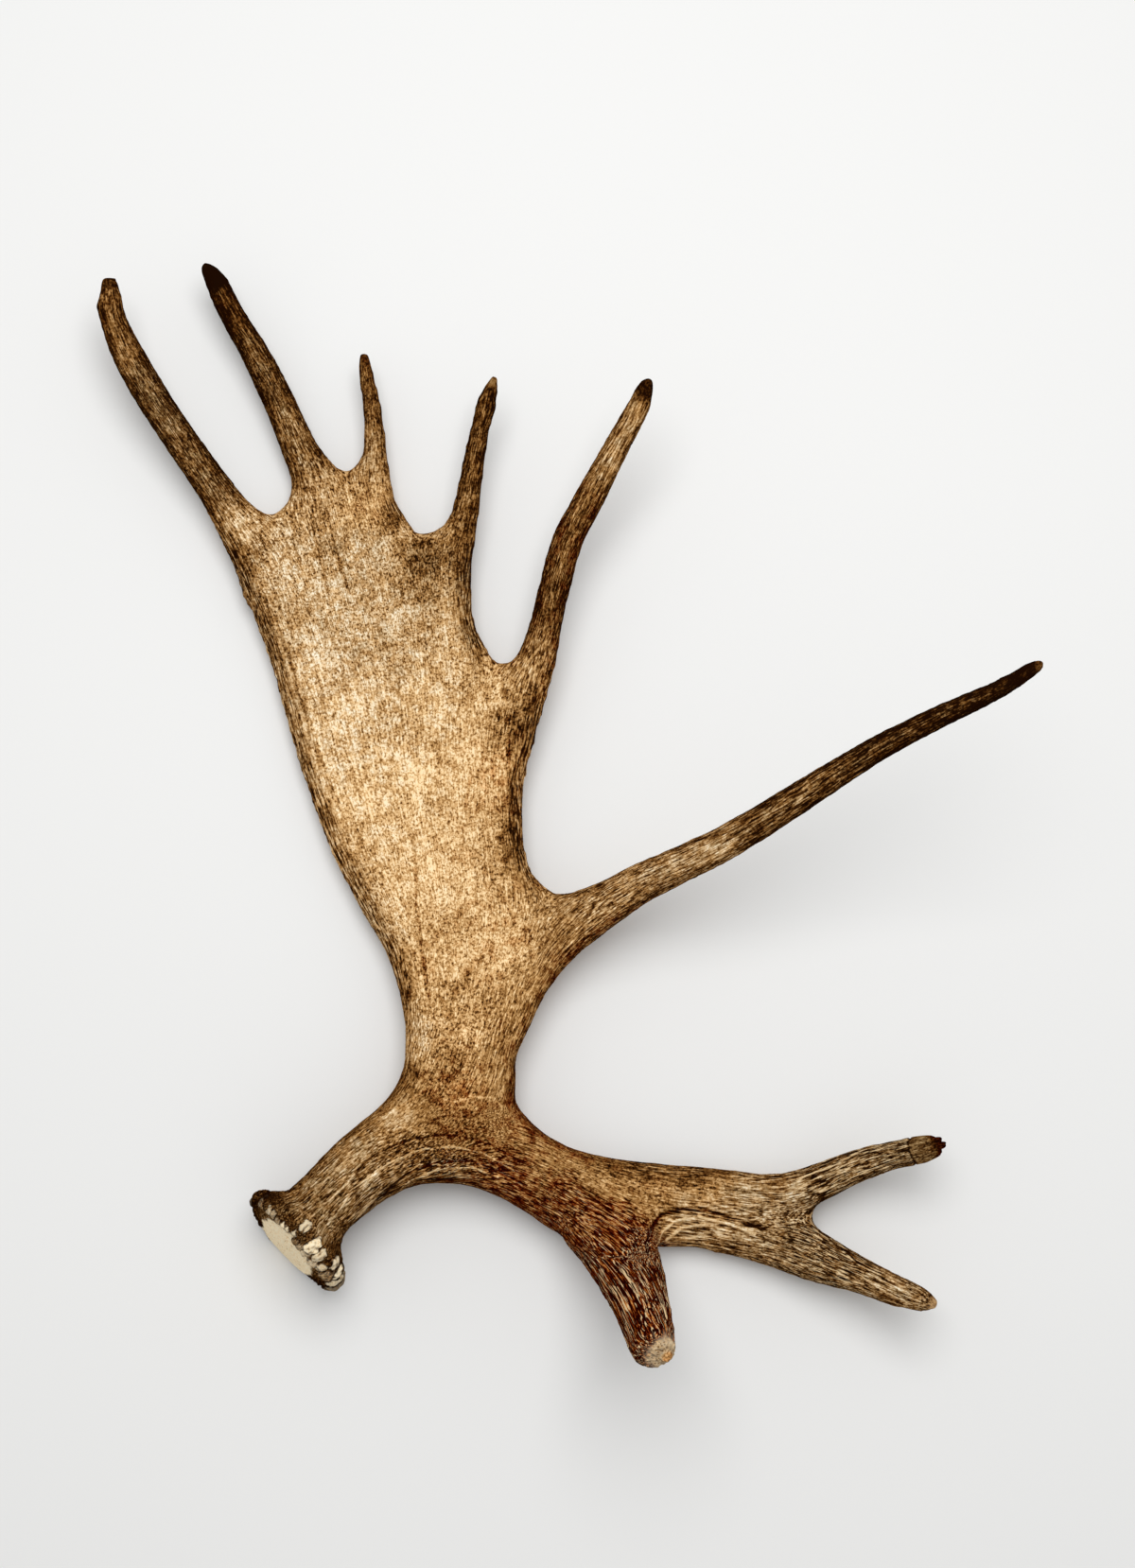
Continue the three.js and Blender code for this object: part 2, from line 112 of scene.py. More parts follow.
# How the bone looks around a place: x, y, then how dark, how red, how streaked and how rough, from 0 to 1.
PLACES = (
    # burr and beam
    (-186, -318, 0.79, 0.38, 0.45, 1.00),
    (-163, -297, 0.73, 0.34, 0.50, 0.90),
    (-134, -268, 0.60, 0.38, 0.42, 0.60),
    (-128, -287, 0.75, 0.42, 0.85, 0.90),
    (-100, -236, 0.55, 0.50, 0.30, 0.36),
    (-95, -258, 0.80, 0.60, 0.80, 0.65),
    (-66, -222, 0.69, 0.72, 0.24, 0.24),
    (-66, -246, 0.75, 0.72, 0.40, 0.32),
    (-70, -268, 0.86, 0.70, 0.90, 0.75),
    (-25, -244, 0.68, 0.75, 0.50, 0.45),
    (-30, -275, 0.80, 0.90, 0.75, 0.80),
    # neck
    (-66, -190, 0.56, 0.58, 0.30, 0.18),
    (-95, -178, 0.44, 0.45, 0.60, 0.35),
    (-32, -180, 0.58, 0.65, 0.60, 0.40),
    (-62, -160, 0.46, 0.50, 0.20, 0.12),
    # palm
    (-68, -110, 0.39, 0.50, 0.18, 0.10),
    (-35, -112, 0.40, 0.55, 0.20, 0.12),
    (-90, -60, 0.33, 0.48, 0.22, 0.10),
    (-45, -45, 0.39, 0.50, 0.18, 0.10),
    (-110, -5, 0.27, 0.42, 0.20, 0.10),
    (-70, 10, 0.26, 0.45, 0.16, 0.08),
    (-35, 15, 0.40, 0.60, 0.20, 0.12),
    (-130, 60, 0.31, 0.34, 0.20, 0.10),
    (-80, 70, 0.31, 0.38, 0.18, 0.10),
    (-40, 75, 0.34, 0.48, 0.22, 0.12),
    (-165, 130, 0.36, 0.28, 0.25, 0.12),
    (-110, 130, 0.40, 0.30, 0.18, 0.10),
    (-60, 130, 0.43, 0.36, 0.22, 0.12),
    (-195, 190, 0.39, 0.30, 0.35, 0.18),
    (-140, 190, 0.42, 0.28, 0.25, 0.12),
    (-88, 178, 0.63, 0.34, 0.20, 0.12),
    (-205, 128, 0.46, 0.36, 0.35, 0.15),
    (-228, 182, 0.52, 0.36, 0.45, 0.20),
    (-196, 57, 0.40, 0.36, 0.35, 0.15),
    (-134, -92, 0.36, 0.35, 0.35, 0.15),
    (-26, 60, 0.56, 0.50, 0.40, 0.20),
    (-30, -105, 0.42, 0.58, 0.25, 0.14),
    (46, -104, 0.80, 0.72, 0.75, 0.60),
    (12, -122, 0.68, 0.68, 0.60, 0.50),
    (-12, -150, 0.58, 0.62, 0.50, 0.40),
    (-22, -195, 0.60, 0.60, 0.50, 0.40),
    (-14, 112, 0.74, 0.62, 0.60, 0.45),
    (-216, 212, 0.56, 0.42, 0.45, 0.25),
    # fingers
    (-228, 205, 0.46, 0.42, 0.55, 0.30),
    (-255, 240, 0.80, 0.36, 0.50, 0.40),
    (-290, 295, 0.82, 0.30, 0.50, 0.40),
    (-320, 350, 0.72, 0.50, 0.45, 0.40),
    (-178, 225, 0.46, 0.45, 0.50, 0.25),
    (-195, 265, 0.71, 0.40, 0.50, 0.40),
    (-225, 325, 0.82, 0.36, 0.50, 0.40),
    (-245, 375, 0.94, 0.55, 0.50, 0.40),
    (-135, 222, 0.46, 0.55, 0.30, 0.18),
    (-128, 262, 0.54, 0.40, 0.45, 0.35),
    (-132, 310, 0.66, 0.52, 0.45, 0.35),
    (-72, 205, 0.62, 0.48, 0.40, 0.30),
    (-55, 250, 0.76, 0.50, 0.45, 0.40),
    (-45, 290, 0.78, 0.48, 0.45, 0.40),
    (-14, 95, 0.58, 0.60, 0.60, 0.40),
    (0, 140, 0.86, 0.62, 0.60, 0.60),
    (18, 190, 0.80, 0.66, 0.60, 0.60),
    (55, 265, 0.57, 0.40, 0.50, 0.50),
    # long point
    (5, -98, 0.55, 0.50, 0.45, 0.30),
    (35, -80, 0.60, 0.50, 0.70, 0.54),
    (100, -50, 0.58, 0.40, 0.66, 0.60),
    (170, -13, 0.79, 0.40, 0.62, 0.60),
    (240, 25, 0.92, 0.32, 0.50, 0.53),
    (320, 68, 0.97, 0.30, 0.40, 0.45),
    # brow palm and its points
    (12, -258, 0.64, 0.70, 0.40, 0.40),
    (40, -278, 0.54, 0.55, 0.30, 0.28),
    (20, -295, 0.84, 0.95, 0.80, 0.90),
    (45, -312, 0.84, 1.00, 0.85, 0.90),
    (80, -280, 0.53, 0.52, 0.22, 0.20),
    (115, -285, 0.51, 0.48, 0.24, 0.22),
    (110, -308, 0.66, 0.45, 0.85, 0.60),
    (150, -275, 0.56, 0.35, 0.65, 0.54),
    (150, -305, 0.64, 0.35, 0.75, 0.54),
    (58, -340, 0.95, 1.35, 0.95, 1.00),
    (70, -370, 0.94, 1.35, 1.00, 1.00),
    (205, -275, 0.74, 0.30, 0.90, 0.60),
    (260, -258, 0.74, 0.20, 0.92, 0.55),
    (205, -330, 0.78, 0.32, 0.90, 0.60),
    (255, -360, 0.62, 0.30, 0.70, 0.55),
)
PLACE_SOFTNESS = 14.0
PLACE_POWER = 2.2

# Rims: the band along the palm's edge that is darker and rougher than its face.
RIM_WIDTH = 18.0
RIM_DARKER = 0.31
RIM_STREAKS = 0.75
RIM_ROUGHER = 0.45
# Valleys where the rim stays pale: x, y and how far that reaches.
PALE_VALLEYS = ((-201, 209, 40), (-142, 241, 34), (-90, 197, 34), (-33, 99, 26), (9, -70, 22))
# Points are darker along their sides and paler and greyer along their middle, the less so the more they are
# streaked: the dark sides are partly stain and partly painted shade where the round sides turn from the light, the
# pale middle partly the bone's own colour and partly a painted sheen.
LIMB_EDGE = 9.0
LIMB_SIDE_STAIN_AND_SHADE = 0.30
LIMB_MIDDLE = (6.0, 12.0)
LIMB_MIDDLE_PALE_AND_SHEEN = 0.10
LIMB_MIDDLE_GREY_AND_SHEEN = 0.16

# Relief, as height in millimetres, pitch across the growth and stretch along it.
SWELLS = (0.50, 12.0, 3.0)
RIDGES = (0.70, 2.2, 18.0)
FURROWS = (0.75, 2.4, 20.0)
FINE_RIDGES = (0.24, 1.5, 9.0)
FURROW_WIDTH = 0.17
UNEVEN = (0.35, 9.0)
PALM_VEINS = (0.28, 11.0, 14.0)
VEIN_WIDTH = 0.07

# Lines in the bone: half width, depth (below 0 for a ridge), and the points that each runs through.
LINES = (
    # veins of the palm
    (1.8, 0.45, ((-118, -58), (-104, -82), (-92, -112), (-85, -148))),
    (1.6, 0.45, ((-97, -40), (-96, -78), (-90, -120))),
    (1.8, 0.45, ((-178, 212), (-170, 178), (-160, 140))),
    (1.6, 0.40, ((-166, 214), (-158, 186), (-150, 160))),
    (1.5, 0.35, ((-62, -40), (-60, -10), (-55, 22))),
    (1.6, 0.40, ((-190, 190), (-180, 160))),
    (1.5, -0.35, ((-122, -52), (-108, -80), (-96, -112), (-89, -148))),
    (1.4, -0.30, ((-182, 205), (-174, 172), (-166, 140))),
    (1.3, -0.30, ((-200, 120), (-186, 70), (-170, 20), (-150, -25))),
    (1.4, 0.30, ((-196, 118), (-182, 70), (-165, 20), (-146, -25))),
    (1.4, 0.35, ((-34, 92), (-28, 60), (-27, 20), (-24, -20))),
    (1.3, -0.30, ((-38, 92), (-32, 60), (-31, 20), (-28, -20))),
    # arcs across the fork and the foot of the neck
    (1.4, 0.50, ((-134, -274), (-121, -262), (-100, -253), (-78, -249), (-59, -250), (-39, -256), (-16, -269))),
    (1.3, -0.55, ((-134, -285), (-112, -269), (-89, -259), (-66, -257), (-44, -262), (-20, -276))),
    (1.8, -0.60, ((-112, -233), (-94, -222), (-82, -213), (-75, -201))),
    (1.5, 0.55, ((-107, -230), (-89, -219), (-79, -209))),
    (1.2, 0.40, ((-92, -242), (-71, -235), (-55, -235))),
    (1.4, 0.55, ((-120, -295), (-99, -276), (-76, -268), (-53, -267), (-35, -274), (-14, -285))),
    (1.2, -0.50, ((-118, -300), (-97, -281), (-75, -273), (-52, -272), (-34, -279))),
    (1.4, -0.40, ((-68, -226), (-53, -222), (-39, -222), (-32, -228))),
    # scrapes along the beam
    (1.3, -0.60, ((-166, -307), (-154, -296), (-144, -286), (-136, -277))),
    (1.4, -0.65, ((-154, -312), (-142, -296), (-131, -287), (-121, -276))),
    (1.3, -0.60, ((-149, -323), (-138, -312), (-131, -303), (-121, -293))),
    # the fold where the lowest brow point leaves the brow palm
    (2.8, 1.0, ((72, -330), (75, -316), (84, -306), (98, -302), (117, -303), (138, -310), (158, -316))),
    (2.0, -0.8, ((79, -332), (83, -319), (94, -310), (111, -308), (131, -312), (151, -320))),
    (1.8, -0.7, ((87, -324), (98, -315), (114, -313), (134, -318))),
)

LINE_STAIN = 0.36

# Stains on the face of the palm: x, y, half length, half width, turn in degrees, how much darker.
STAINS = (
    (-86, 180, 26, 17, 35, 0.20),
    (-96, 152, 20, 10, 20, 0.08),
    (-28, -8, 30, 12, 80, 0.16),
    (-22, -40, 22, 10, 75, 0.12),
    (-158, 190, 10, 8, 0, 0.12),
    (-122, 206, 22, 9, 20, 0.14),
    (-150, 165, 16, 8, 100, 0.07),
    (-62, -190, 22, 9, 0, 0.08),
    (-104, 96, 20, 14, 30, 0.05),
    (-40, 60, 26, 8, 85, 0.08),
    (-56, -172, 9, 6, 0, -0.14),
    (-92, 10, 30, 20, 90, -0.06),
    (-60, -60, 40, 12, 80, -0.06),
    (-168, 100, 30, 14, 100, -0.05),
    (-28, 55, 32, 12, 85, 0.14),
    (-52, 98, 24, 10, 60, 0.09),
    (-84, -6, 20, 12, 20, 0.08),
    (-72, 36, 26, 10, 70, 0.07),
    (-30, -35, 24, 12, 80, 0.08),
    (-60, -183, 12, 5, 70, -0.20),
    (-48, -180, 9, 4, 80, -0.16),
    (-25, -120, 26, 3, 30, -0.12),
)

# How each point ends: length of the finish from the tip, how dark it is there, how red, how bare,
# how far the tip is drawn out, how much wider the point is near it and whether it ends blunt (1) or sharp (0).
TIP_LOOKS = {
    "palm_finger_1": (9.0, 0.90, 0.40, 0.0, 7.0, 1.6, 1),
    "palm_finger_2": (21.0, 1.15, 0.30, 0.0, 7.0, 0.4, 1),
    "palm_finger_3": (9.0, 0.92, 0.55, 0.0, 5.4, 0.0, 1),
    "palm_finger_4": (10.0, 0.74, 0.30, 0.0, 8.6, 3.8, 0),
    "palm_finger_5": (17.0, 1.02, 0.40, 0.0, 4.6, 0.7, 1),
    "long_point": (7.0, 0.80, 0.35, 0.0, 6.6, 0.8, 1),
    "brow_point_1": (14.0, 0.48, 0.25, 0.40, 2.4, 0.0, 1),
    "brow_point_2": (9.0, 0.80, 0.35, 0.0, 6.0, 1.0, 1),
    "brow_point_3": (7.0, 0.52, 0.40, 0.1, 1.0, 1.2, 1),
}
TIP_DRAWN = 13.0
TIP_WIDENED = (5.0, 36.0)
SHARP_END = 20.0
BROKEN_POINT = "brow_point_2"
BROKEN_RADIUS = 7.0
BROKEN_DEPTH = 4.5
BROKEN_TONE = (0.74, 0.14)
CRACK_FROM_TIP = 25.0
CRACK_HALF_WIDTH = 1.5
CRACK_DEPTH = 0.9
WORN_POINT = "brow_point_1"
WORN_EYE_RADIUS = 5.0

# The pearls of the burr: the turn round its rim in degrees (90 is the top), distance from its middle,
# distance ahead of its flat, radius, height and how bare of stain each is.
PEARLS = (
    (2, 44, -4, 5.5, 2.6, 0.0),
    (14, 42, 0, 4.5, 2.6, 0.0),
    (26, 43, -2, 4.0, 2.4, 0.0),
    (38, 41, 1, 3.8, 2.2, 0.2),
    (52, 40, 1, 4.2, 2.0, 0.5),
    (58, 40, 3, 3.2, 2.0, 0.3),
    (66, 39, 4, 3.2, 2.4, 0.2),
    (73, 39, 3, 2.7, 2.0, 0.9),
    (80, 39, 2, 2.7, 1.8, 0.8),
    (88, 40, 1, 3.2, 2.2, 0.7),
    (91, 44, -6, 4.4, 2.8, 0.7),
    (95, 36, 4, 3.8, 3.2, 0.1),
    (102, 36, 4, 3.8, 3.4, 0.2),
    (110, 41, 2, 5.6, 3.4, 1.0),
    (112, 36, 5, 4.4, 3.8, 0.6),
    (122, 41, 2, 4.4, 3.2, 0.7),
    (128, 35, 6, 5.0, 4.2, 0.5),
    (135, 39, 3, 4.0, 3.0, 0.6),
    (140, 44, -7, 4.4, 2.4, 0.7),
    (148, 40, 3, 5.4, 3.2, 0.1),
    (152, 44, -4, 4.2, 2.2, 0.9),
    (156, 44, -12, 5.2, 2.6, 0.0),
    (164, 42, 0, 5.0, 3.0, 0.7),
    (182, 43, -3, 6.0, 2.6, 0.2),
    (196, 42, -1, 5.0, 2.4, 0.2),
    (214, 42, -3, 5.0, 2.2, 0.1),
    (232, 43, -1, 4.6, 2.0, 0.3),
    (250, 42, -4, 5.4, 1.8, 0.1),
    (292, 42, -3, 5.4, 1.8, 0.2),
    (312, 43, -1, 5.0, 2.2, 0.4),
    (330, 42, -4, 5.6, 2.4, 0.1),
    (346, 43, -1, 4.6, 2.6, 0.1),
)
PEARL_STRETCH = 1.8
PEARL_RAGGED = 0.36
PEARL_SOILED = 0.75
SEAL_RADII = (26.5, 44.0)
SEAL_SHIFT = 5.0
SEAL_DEPTH = 9.0
SEAL_DOME = 0.8
SEAL_PITS = (0.8, 2.6)

# Colours, as linear red, green and blue, from the palest bone to the darkest stain.
BONE_RAMP = (
    (0.00, (0.990, 0.800, 0.480)),
    (0.20, (0.760, 0.520, 0.250)),
    (0.40, (0.500, 0.295, 0.112)),
    (0.60, (0.255, 0.127, 0.034)),
    (0.80, (0.078, 0.028, 0.0048)),
    (1.00, (0.0070, 0.0018, 0.0005)),
)
DARKEST = 0.99
GREY_CAST = (0.97, 1.17, 1.66)
PLAIN_CAST = (1.03, 0.96, 0.92)
RED_CAST = (1.18, 0.69, 0.34)
DARK_RED_CAST = (1.20, 0.45, 0.70)
PLAIN_HUE = 0.45
BARE_BONE = (1.000, 0.780, 0.480)
BARE_SHEEN = (1.000, 0.870, 0.620)
BARE_PORES = (0.420, 0.260, 0.120)
WORN_CREST = (0.740, 0.540, 0.295)
GLOSS = 0.0

# The stage: a pale floor, one broad lamp and an even surrounding light.
FLOOR_SIZE = 12000
FLOOR_DROP = 0.3
FLOOR_COLOUR = (0.82, 0.82, 0.81)
LAMP_PLACE = (60, 650, 2300)
LAMP_SIZE = 1900
LAMP_POWER = 40
ROOM_LIGHT = 0.50
CAMERA_AIM = (15.8, 8.6, 30.0)
CAMERA_DISTANCE = 1900
CAMERA_TILT = 8.0
CAMERA_LENS = 58.93
CAMERA_SENSOR = 36.0


def select_only(*objects):
    bpy.ops.object.select_all(action="DESELECT")
    for thing in objects:
        thing.select_set(True)
    bpy.context.view_layer.objects.active = objects[0]


def apply_modifier(thing, kind, **settings):
    modifier = thing.modifiers.new(kind.title(), kind)
    for name, value in settings.items():
        setattr(modifier, name, value)
    select_only(thing)
    bpy.ops.object.modifier_apply(modifier=modifier.name)


def vertices_of(mesh):
    """The mesh's points, in millimetres."""
    flat = np.empty(len(mesh.vertices) * 3, np.float32)
    mesh.vertices.foreach_get("co", flat)
    return flat.reshape(-1, 3).astype(float) / MM


def place_vertices(mesh, points):
    mesh.vertices.foreach_set("co", (points * MM).astype(np.float32).ravel())
    mesh.update()


def edges_of(mesh):
    flat = np.empty(len(mesh.edges) * 2, np.int32)
    mesh.edges.foreach_get("vertices", flat)
    return flat.reshape(-1, 2)


def directions(rows):
    return rows / np.maximum(np.linalg.norm(rows, axis=1, keepdims=True), 1e-9)


def step(value, low, high):
    """0 below low, 1 above high and a smooth rise between."""
    share = np.clip((value - low) / (high - low), 0, 1)
    return share * share * (3 - 2 * share)


def smooth_out(skin, turns):
    """Rounds the facets of a skin without thinning it: each point goes in towards its neighbours, then out."""
    points = vertices_of(skin.data)
    edges = edges_of(skin.data)
    first, second = edges.T
    count = np.bincount(edges.ravel(), minlength=len(points))
    for share in (SMOOTH_IN, SMOOTH_OUT) * turns:
        middle = np.empty_like(points)
        for axis in range(3):
            total = np.bincount(first, points[second, axis], len(points))
            total += np.bincount(second, points[first, axis], len(points))
            middle[:, axis] = total / count
        points = points + share * (middle - points)
    place_vertices(skin.data, points)


def one_skin(nodes):
    """All limbs as one closed skin of even quads, with rounded valleys where they meet."""
    limbs = []
    for node in nodes.values():
        limb = bpy.data.objects.new("limb", node.data.copy())
        bpy.context.collection.objects.link(limb)
        select_only(limb)
        bpy.ops.object.mode_set(mode="EDIT")
        bpy.ops.mesh.select_all(action="SELECT")
        bpy.ops.mesh.remove_doubles(threshold=JOIN_DISTANCE * MM)
        bpy.ops.object.mode_set(mode="OBJECT")
        apply_modifier(limb, "DISPLACE", mid_level=0, strength=SWELL * MM)
        limbs.append(limb)
    select_only(*limbs)
    bpy.ops.object.join()
    skin = bpy.context.view_layer.objects.active
    skin.data.materials.clear()
    apply_modifier(skin, "REMESH", mode="VOXEL", voxel_size=VOXEL * MM)
    apply_modifier(skin, "DISPLACE", mid_level=0, strength=VALLEY_RADIUS * MM)
    apply_modifier(skin, "REMESH", mode="VOXEL", voxel_size=VOXEL * MM)
    smooth_out(skin, VALLEY_TURNS)
    apply_modifier(skin, "DISPLACE", mid_level=0, strength=-VALLEY_RADIUS * MM)
    apply_modifier(skin, "REMESH", mode="VOXEL", voxel_size=VOXEL * MM)
    smooth_out(skin, SMOOTH_TURNS)
    apply_modifier(skin, "SUBSURF", levels=1, render_levels=1)
    return skin


def fork_between(child, parent):
    """The middle, facing and reach of the flat that two limbs share."""
    faces = [face.vertices[:] for face in parent.data.polygons]
    tree = BVHTree.FromPolygons([vertex.co for vertex in parent.data.vertices], faces)
    points = vertices_of(child.data)
    gaps = np.array([tree.find_nearest(Vector(point * MM))[3] for point in points])
    touching = points[gaps < FORK_GAP * MM]
    middle = (touching.min(0) + touching.max(0)) / 2
    facing = np.linalg.svd(touching - touching.mean(0))[2][2]
    if (points.mean(0) - middle) @ facing < 0:
        facing = -facing
    reach = np.linalg.norm(touching - middle, axis=1).max()
    return middle + CUT_SHIFT * facing, facing, reach


def cut_at_forks(skin, forks):
    """Parts the skin along each fork's flat, only round the limb that grows there."""
    mesh = skin.data
    flat = np.empty(len(mesh.polygons) * 3, np.float32)
    mesh.polygons.foreach_get("center", flat)
    middles = flat.reshape(-1, 3) / MM
    shape = bmesh.new()
    shape.from_mesh(mesh)
    shape.faces.ensure_lookup_table()
    chosen = []
    for middle, facing, reach in forks:
        near = np.abs((middles - middle) @ facing) < CUT_BAND
        near &= np.linalg.norm(middles - middle, axis=1) < reach + CUT_MARGIN
        chosen.append([shape.faces[index] for index in np.flatnonzero(near)])
    for (middle, facing, _), faces in zip(forks, chosen):
        edges = {edge for face in faces for edge in face.edges}
        corners = {corner for face in faces for corner in face.verts}
        parts = [*corners, *edges, *faces]
        found = bmesh.ops.bisect_plane(shape, geom=parts, dist=1e-7, plane_co=middle * MM, plane_no=facing)
        line = [part for part in found["geom_cut"] if isinstance(part, bmesh.types.BMEdge)]
        bmesh.ops.split_edges(shape, edges=line)
    shape.to_mesh(mesh)
    shape.free()


def limbs_of(skin, nodes):
    """The skin in twelve limbs, by the name of the node that each stands for."""
    cut_at_forks(skin, [fork_between(nodes[child], nodes[parent]) for child, parent in GROWS_FROM.items()])
    select_only(skin)
    bpy.ops.object.mode_set(mode="EDIT")
    bpy.ops.mesh.select_all(action="SELECT")
    bpy.ops.mesh.separate(type="LOOSE")
    bpy.ops.object.mode_set(mode="OBJECT")
    parts = list(bpy.context.selected_objects)
    if len(parts) != len(nodes):
        raise RuntimeError(f"the skin came apart in {len(parts)} pieces and not {len(nodes)}")
    limbs = {}
    for part in parts:
        points = vertices_of(part.data)
        middle = (points.min(0) + points.max(0)) / 2

        def distance(name):
            low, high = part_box(name)
            return np.linalg.norm((np.array(low) + np.array(high)) / 2 / MM - middle)

        name = min(nodes, key=distance)
        limbs[name] = part
    return limbs


def refine(limb):
    """Gives the rough parts of a limb four times the faces, for their grooves."""
    mesh = limb.data
    flat = np.empty(len(mesh.polygons) * 3, np.float32)
    mesh.polygons.foreach_get("center", flat)
    rough = looks_at(flat.reshape(-1, 3) / MM)[3] > FINE_FROM
    select_only(limb)
    bpy.ops.object.mode_set(mode="EDIT")
    bpy.ops.mesh.select_mode(type="FACE")
    bpy.ops.mesh.select_all(action="DESELECT")
    bpy.ops.object.mode_set(mode="OBJECT")
    mesh.polygons.foreach_set("select", rough)
    bpy.ops.object.mode_set(mode="EDIT")
    bpy.ops.mesh.subdivide(number_cuts=1)
    bpy.ops.object.mode_set(mode="OBJECT")


def noise(at, seed=0):
    """Smooth noise from about -1 to 1, with one swell to each unit of the three coordinates."""
    corner_low = np.floor(at).astype(np.int64)
    inside = at - corner_low
    ease = inside * inside * inside * (inside * (inside * 6 - 15) + 10)
    total = np.zeros(len(at))
    for corner in itertools.product((0, 1), repeat=3):
        cell = (corner_low + corner + 4096) & 0xFFFF
        mixed = cell[:, 0] * 73856093 ^ cell[:, 1] * 19349663 ^ cell[:, 2] * 83492791 ^ (seed + 1) * 2654435761
        mixed &= 0xFFFFFFFF
        mixed = ((mixed >> 15) ^ mixed) * 2246822519 & 0xFFFFFFFF
        mixed = ((mixed >> 13) ^ mixed) * 3266489917 & 0xFFFFFFFF
        slope = np.zeros(len(at))
        weight = np.ones(len(at))
        for axis in range(3):
            tilt = (mixed >> (10 * axis) & 1023) / 511.5 - 1
            slope += tilt * (inside[:, axis] - corner[axis])
            weight *= ease[:, axis] if corner[axis] else 1 - ease[:, axis]
        total += weight * slope
    return np.clip(total * 1.6, -1, 1)


def solve_flow(first, second, source):
    """Values on cells whose differences along the pairs add up to each cell's source."""

    def spread(values):
        flow = values[first] - values[second]
        return np.bincount(first, flow, len(values)) - np.bincount(second, flow, len(values))

    source = source - source.mean()
    values = np.zeros(len(source))
    rest = source.copy()
    heading = rest.copy()
    size = rest @ rest
    goal = size * SOLVER_GOAL**2
    for _ in range(SOLVER_STEPS):
        pushed = spread(heading)
        length = size / (heading @ pushed)
        values += length * heading
        rest -= length * pushed
        new_size = rest @ rest
        if new_size < goal:
            break
        heading = rest + new_size / size * heading
        size = new_size
    return values


def grown_out(values, known, turns):
    """Carries the values of known cells to the cells around them."""
    values = np.where(known, values, 0.0)
    known = known.copy()
    for _ in range(turns):
        total = np.zeros_like(values)
        count = np.zeros_like(values)
        for shift, axis in ((1, 0), (-1, 0), (1, 1), (-1, 1)):
            total += np.roll(values * known, shift, axis)
            count += np.roll(known, shift, axis)
        fresh = ~known & (count > 0)
        values[fresh] = total[fresh] / count[fresh]
        known |= fresh
    return values


def growth_plan(points, tips):
    """Fields on a plan of the antler: how far along its growth a place is, which growth line it is on,
    how close the lines lie, the height of the middle of the bone and the distance to its edge."""
    low = points[:, :2].min(0) - PLAN_MARGIN * CELL
    spot = ((points[:, :2] - low) / CELL).astype(int)
    shape = tuple(spot.max(0) + PLAN_MARGIN)
    flat = spot[:, 0] * shape[1] + spot[:, 1]
    top = np.full(shape[0] * shape[1], -np.inf)
    bottom = np.full(shape[0] * shape[1], np.inf)
    np.maximum.at(top, flat, points[:, 2])
    np.minimum.at(bottom, flat, points[:, 2])
    inside = np.isfinite(top).reshape(shape)
    middle = np.where(inside, (np.where(inside.ravel(), top, 0) + np.where(inside.ravel(), bottom, 0)).reshape(shape) / 2, 0)

    number = np.full(shape, -1)
    number[inside] = np.arange(inside.sum())
    pairs = []
    for axis in (0, 1):
        here = number[:-1] if axis == 0 else number[:, :-1]
        there = number[1:] if axis == 0 else number[:, 1:]
        both = (here >= 0) & (there >= 0)
        pairs.append(np.stack([here[both], there[both]], 1))
    first, second = np.concatenate(pairs).T
    cells = np.argwhere(inside) * CELL + low + CELL / 2

    source = np.zeros(len(cells))
    for tip, share in tips:
        near = np.linalg.norm(cells - tip[:2], axis=1)
        near = near < max(SINK_REACH, near.min() + CELL)
        source[near] -= share / near.sum()
    near = np.linalg.norm(cells - BURR_MIDDLE[:2], axis=1) < BURR_RADIUS / 2
    source[near] += 1 / near.sum()
    along = solve_flow(first, second, source)

    slopes = []
    for pair in pairs:
        rise = (along[pair[:, 1]] - along[pair[:, 0]]) / CELL
        total = np.bincount(pair[:, 0], rise, len(cells)) + np.bincount(pair[:, 1], rise, len(cells))
        slopes.append(total / np.maximum(np.bincount(pair.ravel(), minlength=len(cells)), 1))
    turned = (-slopes[1], slopes[0])
    wanted = np.concatenate([(turn[pair[:, 0]] + turn[pair[:, 1]]) / 2 * CELL for turn, pair in zip(turned, pairs)])
    line_source = np.bincount(second, wanted, len(cells)) - np.bincount(first, wanted, len(cells))
    line = solve_flow(first, second, line_source)

    flow = np.log2(np.maximum(np.hypot(*slopes), WEAKEST_FLOW))
    count = np.bincount(np.concatenate([first, second]), minlength=len(cells)) + 1
    for _ in range(FLOW_SOFTENING):
        total = np.bincount(first, flow[second], len(cells)) + np.bincount(second, flow[first], len(cells))
        flow = (flow + total) / count

    edge = np.where(inside, 1e6, 0.0)
    for _ in range(int(max(shape) / 4)):
        for shift in itertools.product((-1, 0, 1), repeat=2):
            distance = CELL * math.hypot(*shift)
            edge = np.minimum(edge, np.roll(edge, shift, (0, 1)) + distance)
    fields = {"edge": np.where(inside, edge - CELL / 2, 0), "middle": middle}
    for name, values in (("along", along), ("line", line), ("flow", flow)):
        full = np.zeros(shape)
        full[inside] = values
        fields[name] = full
    for name in ("middle", "along", "line", "flow"):
        fields[name] = grown_out(fields[name], inside, PLAN_MARGIN - 1)
    return low, fields


def read_plan(plan, points):
    """The plan's fields at each point, smoothly between cells."""
    low, fields = plan
    at = (points[:, :2] - low) / CELL - 0.5
    cell = np.floor(at).astype(int)
    part = at - cell
    found = {}
    for name, values in fields.items():
        total = np.zeros(len(points))
        for right, up in itertools.product((0, 1), repeat=2):
            weight = np.where(right, part[:, 0], 1 - part[:, 0]) * np.where(up, part[:, 1], 1 - part[:, 1])
            column = np.clip(cell[:, 0] + right, 0, values.shape[0] - 1)
            row = np.clip(cell[:, 1] + up, 0, values.shape[1] - 1)
            total += weight * values[column, row]
        found[name] = total
    return found


